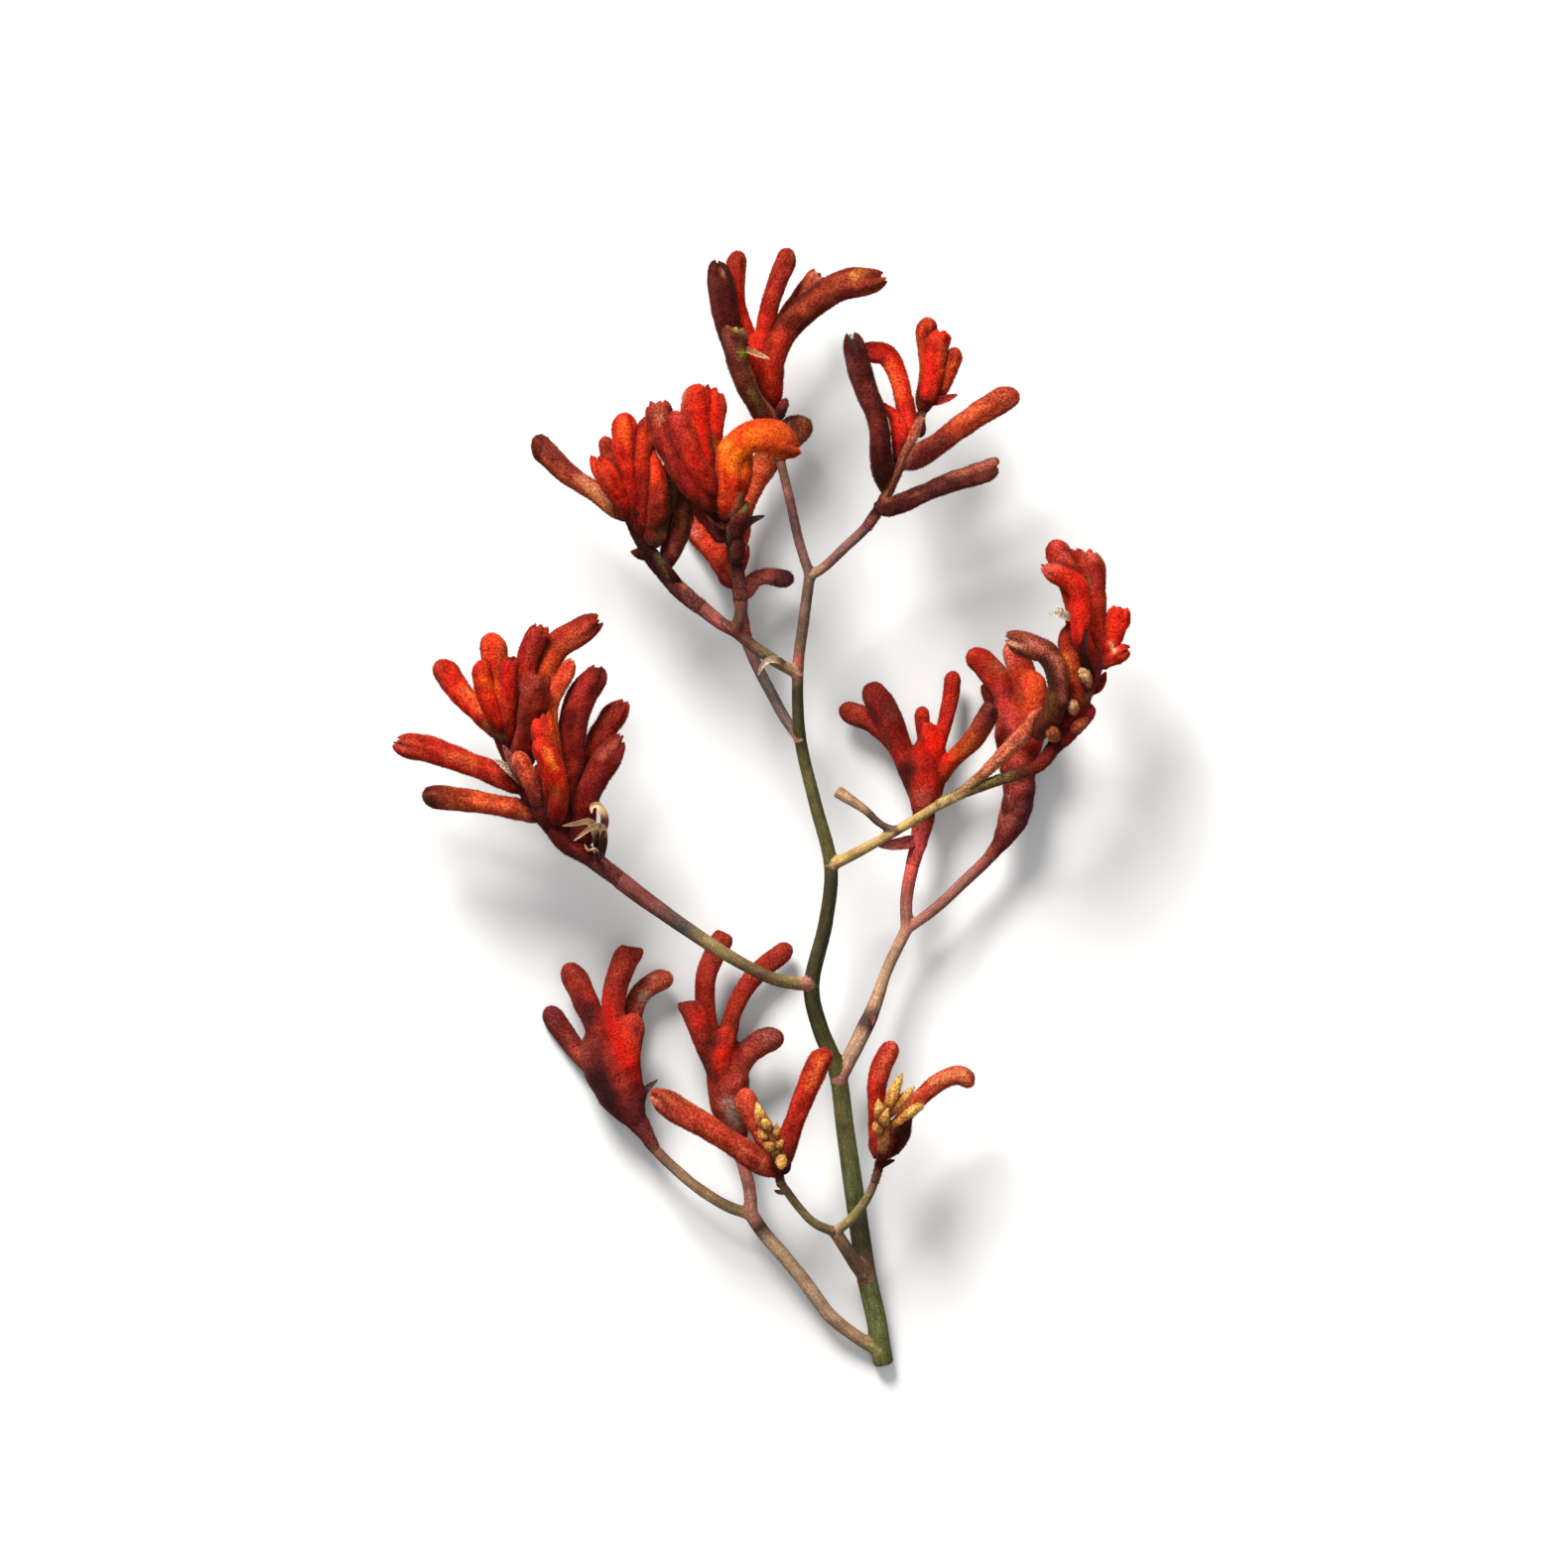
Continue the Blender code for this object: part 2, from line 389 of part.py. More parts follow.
def walk(line, shares):
    """The points, and the ways ahead, at these shares of the line's length."""
    lengths = [0]
    for a, b in zip(line, line[1:]):
        lengths.append(lengths[-1] + (b - a).length)
    found, ways, i = [], [], 0
    for share in shares:
        goal = share * lengths[-1]
        while i < len(line) - 2 and lengths[i + 1] < goal:
            i += 1
        span = lengths[i + 1] - lengths[i]
        found.append(line[i].lerp(line[i + 1], (goal - lengths[i]) / span))
        ways.append((line[i + 1] - line[i]).normalized())
    return found, ways


def line_length(line):
    return sum((b - a).length for a, b in zip(line, line[1:]))


def between(stations, share):
    """The value at share of evenly spaced stations, read along straight lines."""
    where = share * (len(stations) - 1)
    i = min(int(where), len(stations) - 2)
    return stations[i] + (stations[i + 1] - stations[i]) * (where - i)


def new_object(name, bm):
    mesh = bpy.data.meshes.new(name)
    bmesh.ops.recalc_face_normals(bm, faces=bm.faces)
    bm.to_mesh(mesh)
    bm.free()
    obj = bpy.data.objects.new(name, mesh)
    bpy.context.scene.collection.objects.link(obj)
    return obj


def sweep(name, centres, ways, widths, sides, thicknesses=None, crown=0.0):
    """A closed tube along the centres, with oval sections. A crown lengthens every second corner
    of the last section and sinks its middle, as the lobes round a flower's mouth do."""
    thicknesses = thicknesses or widths
    bm = bmesh.new()
    rings = []
    normal = Vector((0, 0, 1))
    last = len(centres) - 1
    for i, (centre, ahead) in enumerate(zip(centres, ways)):
        normal = (normal - normal.dot(ahead) * ahead).normalized()
        side = ahead.cross(normal)
        ring = []
        for k in range(sides):
            turn = 2 * math.pi * k / sides
            out = side * math.cos(turn) * widths[i] / 2 + normal * math.sin(turn) * thicknesses[i] / 2
            reach = ahead * crown * (1 - 2 * (k % 2)) if i == last else Vector()
            ring.append(bm.verts.new(centre + out + reach))
        rings.append(ring)
    for lower, upper in zip(rings, rings[1:]):
        for k in range(sides):
            j = (k + 1) % sides
            bm.faces.new((lower[k], lower[j], upper[j], upper[k]))
    bm.faces.new(rings[0])
    mouth = bm.faces.new(rings[-1])
    if crown:
        middle = bmesh.ops.poke(bm, faces=[mouth])["verts"][0]
        middle.co -= ways[-1] * crown
    return new_object(name, bm)


def tube(name, route, girths, sides, spacing, before=None, after=None):
    """A stem or axis of the given girths along the route, in sections about one spacing apart.
    Where a piece lies before or after it, the end is flat and half the seat gap short."""
    line = curve_through([place(p) for p in route], before and place(before), after and place(after))
    length = line_length(line)
    sections = max(2, round(length / spacing))
    first = SEAT_GAP / 2 / length if before else 0
    last = 1 - SEAT_GAP / 2 / length if after else 1
    shares = [first + (last - first) * i / sections for i in range(sections + 1)]
    widths = [between(girths, share) * MM for share in shares]
    return sweep(name, *walk(line, shares), widths, sides)


def flower(name, form, girth, route, sides=FLOWER_SIDES):
    """One tubular flower or bud, from its root in the axis to its tip."""
    line = curve_through([place(p) for p in route])
    shares = [share for share, _ in FORMS[form]]
    widths = [width * girth * MM for _, width in FORMS[form]]
    crown = 0.11 * girth * MM if form == "mouth" else 0
    return sweep(name, *walk(line, shares), widths, sides, crown=crown)


def beak_teeth(name, girth, route):
    """The pointed lobe tips that part a little at the end of a spent flower."""
    line = curve_through([place(p) for p in route])
    tip = line[-1]
    ahead = (line[-1] - line[-4]).normalized()
    side = ahead.cross(Vector((0, 0, 1))).normalized()
    teeth = []
    for lean in (-1, 1):
        root = tip - ahead * 0.3 * girth * MM + side * lean * 0.12 * girth * MM
        point = tip + ahead * 0.16 * girth * MM + side * lean * 0.17 * girth * MM
        way = (point - root).normalized()
        widths = [0.36 * girth * MM, 0.1 * girth * MM]
        teeth.append(sweep(f"{name}_{lean}", [root, point], [way, way], widths, 4))
    return teeth


def bract(name, width, route):
    """A thin pointed blade, widest near its middle."""
    line = curve_through([place(p) for p in route])
    shares = [0, 0.33, 0.7, 1]
    widths = [width * MM * share for share in (0.7, 1, 0.8, 0.24)]
    thicknesses = [BLADE_THICKNESS * MM * share for share in (1.3, 1.2, 1.1, 0.9)]
    return sweep(name, *walk(line, shares), widths, 4, thicknesses)


def fuse(body, others):
    """Joins the others to the body in one closed solid and removes them."""
    group = bpy.data.collections.new(body.name + "_parts")
    bpy.context.scene.collection.children.link(group)
    for other in others:
        bpy.context.scene.collection.objects.unlink(other)
        group.objects.link(other)
    union = body.modifiers.new("join", "BOOLEAN")
    union.operation = "UNION"
    union.operand_type = "COLLECTION"
    union.collection = group
    apply_modifiers(body)
    drop_hollows(body)
    for other in others:
        bpy.data.objects.remove(other)
    bpy.data.collections.remove(group)


def apply_modifiers(obj):
    graph = bpy.context.evaluated_depsgraph_get()
    mesh = bpy.data.meshes.new_from_object(obj.evaluated_get(graph))
    obj.modifiers.clear()
    obj.data = mesh


def drop_hollows(obj):
    """Fills the small hollows that are left closed in where several tubes meet."""
    bm = bmesh.new()
    bm.from_mesh(obj.data)
    waiting = set(bm.verts)
    shells = []
    while waiting:
        shell, edge_of_shell = set(), [waiting.pop()]
        while edge_of_shell:
            vert = edge_of_shell.pop()
            shell.add(vert)
            near = {edge.other_vert(vert) for edge in vert.link_edges} & waiting
            waiting -= near
            edge_of_shell += near
        shells.append(shell)
    shells.sort(key=len)
    for shell in shells[:-1]:
        bmesh.ops.delete(bm, geom=list(shell), context="VERTS")
    bm.to_mesh(obj.data)
    bm.free()


def flatten_foot(obj):
    """Cuts off what dips below the surface, which leaves the flat spots that the part rests on."""
    bm = bmesh.new()
    bm.from_mesh(obj.data)
    everything = bm.verts[:] + bm.edges[:] + bm.faces[:]
    cut = bmesh.ops.bisect_plane(bm, geom=everything, plane_co=(0, 0, 0), plane_no=(0, 0, -1), clear_outer=True)
    rim = [item for item in cut["geom_cut"] if isinstance(item, bmesh.types.BMEdge)]
    bmesh.ops.holes_fill(bm, edges=rim, sides=0)
    bmesh.ops.triangulate(bm, faces=bm.faces)
    bm.to_mesh(obj.data)
    bm.free()


def finish(obj, colour):
    """Flattens the foot, shades the piece smooth and gives it its material."""
    flatten_foot(obj)
    obj.data.shade_smooth()
    obj.data.set_sharp_from_angle(angle=math.radians(50))
    material = bpy.data.materials.get(colour) or bpy.data.materials.new(colour)
    material.use_nodes = True
    shader = material.node_tree.nodes["Principled BSDF"]
    shader.inputs["Base Color"].default_value = (*COLOURS[colour], 1)
    shader.inputs["Roughness"].default_value = 0.85
    shader.inputs["Metallic"].default_value = 0
    obj.data.materials.clear()
    obj.data.materials.append(material)


def build_stem():
    """The main stem with its side branches, twigs and small bracts, grown as one piece."""
    stem = tube("stem", STEM_ROUTE, STEM_GIRTHS, STEM_SIDES, 11 * MM)
    carried = {head["axis"][0][0]: head["axis"][0][1] for head in HEADS.values()}
    parts = []
    for name, (route, girths) in BRANCHES.items():
        after = carried.get(route[-1])
        parts.append(tube(name, route, girths, BRANCH_SIDES, 8 * MM, after=after))
    for i, (width, route) in enumerate(STALK_BRACTS):
        parts.append(bract(f"stalk_bract_{i}", width, route))
    fuse(stem, parts)
    finish(stem, "stem")


def build_head(name, head):
    """A flower head: its axis, its flowers with their parted tips, and its bracts."""
    route, girths = head["axis"]
    before = next(branch[-2] for branch, _ in BRANCHES.values() if branch[-1] == route[0])
    carried = {buds["axis"][0][0]: buds["axis"][0][1] for buds in YOUNG_BUDS.values()}
    after = carried.get(route[-1])
    axis = tube(name, route, girths, BRANCH_SIDES, 6 * MM, before, after)
    parts = []
    for i, (form, girth, flower_route) in enumerate(head["flowers"]):
        sides = {"knob": BUD_SIDES, "pear": BUD_SIDES, "palm": PALM_SIDES}.get(form, FLOWER_SIDES)
        parts.append(flower(f"{name}_flower_{i}", form, girth, flower_route, sides))
        if form == "beak":
            parts += beak_teeth(f"{name}_tooth_{i}", girth, flower_route)
    for i, (width, bract_route) in enumerate(head["bracts"]):
        parts.append(bract(f"{name}_bract_{i}", width, bract_route))
    fuse(axis, parts)
    finish(axis, head["colour"])


def build_young_buds(name, buds):
    """The tip of a head with its golden young buds."""
    route, girths = buds["axis"]
    before = next(head["axis"][0][-2] for head in HEADS.values() if head["axis"][0][-1] == route[0])
    axis = tube(name, route, girths, BUD_SIDES, 4 * MM, before)
    parts = [
        flower(f"{name}_{i}", "knob", girth, bud_route, BUD_SIDES)
        for i, (girth, bud_route) in enumerate(buds["buds"])
    ]
    fuse(axis, parts)
    finish(axis, "golden_buds")


def build_dry_bracts():
    """The papery bracts at the foot of the left head, grown from one root."""
    first, *others = [
        bract(f"dry_bract_{i}", width, route) for i, (width, route) in enumerate(DRY_BRACTS)
    ]
    first.name = "dry_bracts"
    fuse(first, others)
    finish(first, "dry_bracts")


def main():
    for obj in list(bpy.data.objects):
        bpy.data.objects.remove(obj)
    build_stem()
    for name, head in HEADS.items():
        build_head(name, head)
    for name, buds in YOUNG_BUDS.items():
        build_young_buds(name, buds)
    build_dry_bracts()


main()
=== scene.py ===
"""Looks of the kangaroo paw flower: a cut, branched flower stalk that lies on a pale floor.

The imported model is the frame. Each of its nodes is soft or grown, so each is replaced by one finer
piece of the same form: a stalk grown together at its forks, flower heads of lobed tubes that are
covered in short felt, golden young buds, and papery bracts. The routes and girths follow those of
the part itself. Lengths are in metres, +Z is up, and the camera looks straight down.
"""

import math

import bpy
import numpy as np
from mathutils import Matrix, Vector
from mathutils.kdtree import KDTree


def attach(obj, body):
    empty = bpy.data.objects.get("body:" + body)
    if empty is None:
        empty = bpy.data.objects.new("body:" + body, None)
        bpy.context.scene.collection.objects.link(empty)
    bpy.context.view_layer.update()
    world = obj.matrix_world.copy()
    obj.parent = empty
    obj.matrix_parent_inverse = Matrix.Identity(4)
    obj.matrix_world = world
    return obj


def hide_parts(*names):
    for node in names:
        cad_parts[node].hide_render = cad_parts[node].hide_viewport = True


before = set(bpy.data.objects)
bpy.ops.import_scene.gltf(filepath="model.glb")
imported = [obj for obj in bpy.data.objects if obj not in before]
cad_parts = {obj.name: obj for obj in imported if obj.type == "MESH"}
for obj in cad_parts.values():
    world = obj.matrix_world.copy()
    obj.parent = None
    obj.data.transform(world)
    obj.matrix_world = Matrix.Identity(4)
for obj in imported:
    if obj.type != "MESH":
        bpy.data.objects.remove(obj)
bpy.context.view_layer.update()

MM = 0.001
PIXEL = 0.32 * MM  # real width of one pixel of the photograph
PHOTO_SIDE = 1580  # pixels
ORIGIN_PIXEL = (768.2, 815.2)  # the pixel over the middle of the part
UP = np.array((0.0, 0.0, 1.0))
FLOOR_GAP = 0.01  # millimetres that every point stays above the floor

# The girth of a flower along its length, as shares of its length and of its full girth.
TUBE = [(0, 0.5), (0.06, 0.86), (0.12, 1.02), (0.25, 0.96), (0.42, 0.88), (0.65, 1.0), (0.85, 1.08)]
FORMS = {
    "round": TUBE + [(1, 1.06)],
    "beak": TUBE + [(1, 1.0)],
    "mouth": TUBE + [(1, 1.08)],
    "pear": [(0, 0.4), (0.15, 0.72), (0.38, 1.0), (0.62, 0.88), (0.85, 0.55), (1, 0.3)],
    "palm": [(0, 0.35), (0.14, 0.68), (0.34, 0.97), (0.55, 1.0), (0.78, 0.85), (1, 0.7)],
    "horn": [(0, 0.4), (0.3, 0.55), (0.62, 0.8), (0.88, 1.0), (1, 0.8)],
    "knob": [(0, 0.5), (0.35, 0.86), (0.7, 1.0), (1, 0.86)],
}
# How a form ends: the length of its nose in girths, the share of its girth that its end keeps, and
# how far the lobes of an open end reach, in girths. A closed end has no reach.
ENDS = {"round": (0.62, 0.08, 0), "mouth": (0.5, 0.62, 0.12), "beak": (0.85, 0.34, 0.2)}
OTHER_END = (0.7, 0.08, 0)
LONGEST_NOSE = 0.5  # as a share of the length
LOBES = 6
BUD_SHAPES = ("pear", "pear", "knob", "pear", "pear", "knob", "knob")

# Felt colours, as they show in daylight: at a flower's foot, middle and tip, and at its hair tips.
TONES = {
    "scarlet": ((140, 16, 8), (214, 30, 12), (196, 36, 18), (242, 84, 40)),
    "glow": ((186, 26, 10), (238, 72, 16), (220, 70, 22), (255, 132, 48)),
    "orange": ((176, 46, 20), (220, 74, 26), (204, 80, 40), (246, 138, 76)),
    "red": ((126, 18, 12), (190, 36, 20), (168, 38, 26), (230, 88, 54)),
    "rust": ((112, 18, 12), (164, 36, 22), (150, 42, 30), (220, 88, 58)),
    "copper": ((150, 38, 28), (198, 64, 42), (178, 76, 56), (236, 138, 100)),
    "ochre": ((122, 34, 22), (180, 62, 34), (92, 33, 28), (220, 116, 70)),
    "coral": ((160, 34, 24), (218, 58, 38), (206, 72, 54), (240, 120, 92)),
    "smoulder": ((116, 30, 18), (92, 24, 14), (146, 52, 38), (186, 88, 58)),
    "dusty": ((120, 32, 24), (158, 42, 30), (160, 88, 80), (218, 124, 100)),
    "umber": ((96, 50, 26), (84, 46, 22), (78, 34, 24), (146, 90, 54)),
    "maroon": ((92, 28, 22), (112, 34, 28), (110, 36, 38), (172, 80, 68)),
    "soot": ((66, 38, 36), (60, 38, 38), (84, 58, 58), (116, 84, 78)),
    "twig": ((190, 140, 100), (196, 104, 76), (206, 92, 70), (236, 150, 120)),
    "paper": ((150, 112, 96), (178, 140, 122), (206, 180, 160), (226, 206, 190)),
    "dusk": ((196, 44, 18), (190, 80, 32), (86, 26, 30), (196, 100, 66)),
    "crimson": ((78, 12, 10), (124, 22, 17), (106, 22, 20), (190, 68, 52)),
    "ember": ((100, 26, 20), (188, 70, 40), (176, 64, 42), (228, 116, 78)),
    "dark": ((46, 11, 10), (66, 18, 13), (76, 26, 21), (124, 46, 32)),
    "olive": ((160, 58, 50), (112, 52, 34), (66, 30, 20), (176, 96, 66)),
    "dusky": ((66, 24, 24), (78, 33, 30), (144, 72, 60), (150, 78, 68)),
    "peach": ((210, 122, 82), (172, 72, 46), (86, 24, 16), (214, 120, 84)),
    "muted": ((120, 40, 32), (168, 46, 34), (158, 54, 42), (200, 90, 70)),
    "blush": ((160, 64, 56), (180, 62, 52), (158, 72, 58), (210, 112, 90)),
    "wine": ((150, 60, 56), (112, 50, 48), (98, 46, 46), (160, 90, 84)),
    "brown": ((226, 84, 44), (196, 82, 46), (104, 52, 42), (210, 116, 78)),
    "salmon": ((206, 66, 48), (212, 86, 66), (190, 74, 58), (240, 140, 112)),
    "gold": ((150, 70, 40), (184, 108, 62), (176, 98, 58), (226, 160, 104)),
    "crust": ((92, 36, 20), (84, 36, 20), (150, 78, 58), (164, 84, 66)),
    "cream": ((110, 44, 28), (150, 90, 60), (210, 166, 124), (214, 170, 136)),
    "pip": ((180, 92, 60), (214, 150, 104), (232, 188, 144), (246, 208, 172)),
    "bud": ((190, 110, 54), (224, 168, 87), (235, 191, 112), (245, 210, 145)),
    "sprig": ((136, 80, 62), (156, 88, 70), (132, 62, 50), (206, 140, 112)),
    "blaze": ((130, 20, 12), (194, 56, 22), (182, 52, 30), (228, 104, 60)),
}

# Skin colours of the stalk.
SKINS = {
    "green": (97, 103, 58), "olive": (78, 76, 38), "straw": (138, 118, 74), "bark": (102, 74, 54),
    "tan": (152, 118, 88), "pink": (182, 118, 98), "rose": (182, 74, 62), "plum": (112, 56, 50),
    "moss": (116, 112, 64), "fern": (46, 46, 19), "sand": (160, 130, 78), "peel": (172, 139, 108),
    "clay": (92, 70, 56), "heather": (118, 78, 70), "wheat": (160, 124, 97), "mauve": (152, 96, 84),
    "rosewood": (140, 66, 58), "ash": (84, 72, 66), "night": (56, 40, 32), "maroon": (84, 26, 24),
}

CALM_TONES = ("muted", "blush", "wine", "bud", "crust")  # felt of even colour
SHADE = (84, 14, 8)  # the deepest colour of a streak
# The painted shade inside the throat of an open flower.
THROAT_PAINTED_SHADE = (44, 10, 10)
FELT_DEPTH = np.array((0.92, 0.72, 0.62))  # deepens the felt colours, whose hairs catch much light
# Painted shade in the crevices between the flowers of a head.
CREVICE_SHADE_REACH = 1.8 * MM  # a flower is shaded where another is nearer than this
CREVICE_SHADE_DEPTH = 0.8
CREVICE_SHADE_WEIGHTS = np.array((0.85, 1.0, 1.0))  # the shade takes less of the red
BRACT_FOOT = (140, 92, 68)
BUD_AXIS_COLOURS = ((150, 84, 50), (214, 160, 92))
DRY_BRACT_COLOURS = ((70, 26, 22), (228, 190, 142))
DRY_STAIN = (132, 84, 54)

# Felt: hairs per square millimetre, and the length and width of a hair.
HEAD_FELT = (5.8, 0.7 * MM, 0.19 * MM)
WEB_FELT = (4.6, 0.5 * MM, 0.16 * MM)
BUD_FELT = (12.0, 0.45 * MM, 0.12 * MM)
BRACT_FELT = (5.0, 0.4 * MM, 0.1 * MM)
SKIN_DEPTH = 0.04  # millimetres that a hair's root lies under the skin
HEADING_SPREAD = 0.7  # radians that hairs turn away from forward
LYING_SHARE = 0.6  # of the hairs; the others stand up more
LYING_LEAN = (0.9, 1.25)
STANDING_LEAN = (0.35, 0.8)

# Tubes: the distance between rings, the sides, the overlap with the next tube, and the unevenness.
STALK_TUBE = (1.6 * MM, 20, 0.3 * MM, 0.04)
AXIS_TUBE = (0.9 * MM, 20, 0.7 * MM, 0.09)
BUD_AXIS_TUBE = (0.6 * MM, 18, 0.5 * MM, 0.08)
FLOWER_RING = 0.9 * MM
THICK_FLOWER = 4.4 * MM
FLOWER_SIDES = (30, 20)  # of a thick flower, and of a thin one
BRACT_RING = 0.5 * MM
BRACT_SIDES = 18
SAMPLE_STEP = 0.7 * MM  # between the places where the stalk's colour is taken
FLAT_FLOW = 400  # turns metres into the flow of hairs
WEB_FLOW = (420, 300, 420)  # the same for webbed skins
NOISE_SPAN = (0.3, 0.7)  # where most values of a noise lie

# Seeds of the random draws. A head or bud group adds its place in its table.
STALK_SEED = 11
HEAD_SEED = 100
BUD_SEED = 300
DRY_BRACT_SEED = 500

# Growing together: the size of the grid, and the rounds of smoothing and of blending colours.
STALK_VOXEL = 0.58 * MM
WEB_VOXEL = 0.55 * MM
STALK_ROUNDS = 7
WEB_ROUNDS = 9
BLEND_ROUNDS = 14

# The bake map: tubes on the left, hairs on the right. A cap takes a thin strip of a tube's cell.
BAKE_MAP = "OFBake"
SKIN_WIDTH = 0.56
HAIR_LEFT = 0.57
HAIR_WIDTH = 0.43
CELL_FILL = 0.98
CELL_EDGE = 0.002
CAP = 0.04
HAIR_CELL = np.array(((0.08, 0.1), (0.92, 0.1), (0.5, 0.92)))

# The stage.
FLOOR_HALF = 4.0
FAR_CLIP = 50
FLOOR_GREYS = ((0.90, 0.90, 0.90), (0.93, 0.93, 0.93))
WORLD_LIGHT = 0.34
LAMP_AIM = (0, 0, 0.03)
LAMPS = (  # name, place, size, power and colour
    ("key", (-0.6, 1.5, 1.4), 0.9, 66.0, (1.0, 0.97, 0.93)),
    ("top", (0.2, -0.2, 2.2), 1.4, 8.0, (1.0, 1.0, 1.0)),
)
LENS = 400
SENSOR = 36
CAMERA_AIM_HEIGHT = 38  # millimetres above the floor

# Routes are points of photograph pixels and a height in millimetres. Girths are in millimetres,
# spread evenly over the length.
STEM_ROUTE = [
    (891, 1378, 3.1), (888, 1362, 4.4), (883, 1330, 6), (873, 1285, 9), (862, 1210, 13), (852, 1140, 17),
    (844, 1082, 20.5), (826, 1035, 23.5), (818, 992, 26), (832, 930, 29), (837, 872, 31.5), (821, 808, 34),
    (806, 742, 36), (804, 676, 37.5), (810, 625, 38.5), (816, 580, 39),
]
STEM_GIRTHS = (6.8, 6.4, 5.2, 4.2, 3.7)
BRANCHES = {
    "crown_branch": ([(816, 580, 39), (805, 545, 39), (795, 500, 39), (786, 462, 38.5)], (3.4, 3.2)),
    "upper_right_branch": ([(816, 580, 39), (830, 572, 39.5), (850, 553, 40), (874, 530, 41)], (3.4, 3.6)),
    "upper_left_trunk": ([(804, 679, 37.5), (784, 668, 41), (759, 651, 44), (742, 637, 45)], (3.8, 4.2)),
    "upper_left_branch": ([(742, 637, 45), (725, 627, 45), (705, 611, 44.5)], (4.2, 5.2)),
    "upper_middle_branch": ([(742, 637, 45), (746, 620, 47), (747, 602, 49)], (4.2, 4.4)),
    "upper_back_twig": ([(806, 745, 36), (790, 722, 30), (776, 696, 25), (762, 669, 22),
        (751, 640, 19.5)], (3.6, 4)),
    "left_branch": ([(818, 992, 26), (800, 991, 30), (773, 984, 35), (729, 960, 41), (688, 933, 44),
        (649, 905, 46), (624, 886, 46.5)], (4.6, 4.2, 5, 6)),
    "right_branch": ([(837, 872, 31.5), (862, 860, 36), (893, 843, 39), (925, 824, 41), (946, 811, 42)],
        (4.2, 3.3, 3.3)),
    "right_twig": ([(846, 1088, 20.5), (865, 1050, 19), (880, 1018, 18), (895, 976, 17), (914, 937, 16)],
        (5, 5.6, 4, 4)),
    "right_back_branch": ([(914, 937, 16), (914, 905, 16), (920, 872, 15.5)], (4, 4.6)),
    "right_middle_branch": ([(914, 937, 16), (943, 916, 15), (971, 890, 13), (997, 865, 12.5)], (3.6, 4.2)),
    "low_front_trunk": ([(873, 1290, 9), (863, 1276, 15), (853, 1260, 19), (842, 1243, 23)], (5, 4.4)),
    "low_left_branch": ([(842, 1243, 23), (820, 1233, 26), (804, 1216, 29), (793, 1201, 31),
        (787, 1193, 32)], (3.4, 3, 3)),
    "low_right_branch": ([(842, 1243, 23), (859, 1228, 26), (874, 1208, 28), (882, 1190, 29)],
        (3.4, 3.4, 2.8)),
    "lower_twig": ([(886, 1364, 4.4), (866, 1352, 5.5), (837, 1329, 8), (814, 1298, 10), (789, 1267, 12),
        (770, 1245, 13), (757, 1226, 13.5)], (4.4, 4.8, 4.8)),
    "lower_left_branch": ([(757, 1226, 13.5), (732, 1217, 13.5), (703, 1199, 13), (678, 1178, 12.5),
        (660, 1160, 12)], (4, 3.6)),
    "lower_middle_branch": ([(757, 1226, 13.5), (755, 1200, 12.5), (748, 1172, 12)], (4.4, 4.2)),
    "stunted_twig": ([(905, 837, 40), (888, 831, 39), (870, 815, 37.5), (843, 797, 36)], (2.4, 2.8, 4.4)),
}

# The small bracts of the stalk: width in millimetres, colour of the tip, and route.
STALK_BRACTS = [
    (2.4, (206, 182, 156), [(795, 675, 39), (785, 666, 44), (775, 665, 46), (768, 671, 46),
        (764, 681, 44)]),
    (3.4, (120, 84, 60), [(872, 1296, 9), (868, 1290, 14), (871, 1278, 15)]),
    (1.8, (34, 24, 22), [(793, 1202, 31), (786, 1202, 30), (780, 1200, 30)]),
    (2.6, (96, 70, 62), [(742, 637, 45), (734, 630, 48), (724, 622, 49)]),
    (2.6, (120, 60, 56), [(870, 1028, 18), (878, 1030, 21), (880, 1018, 22)]),
]
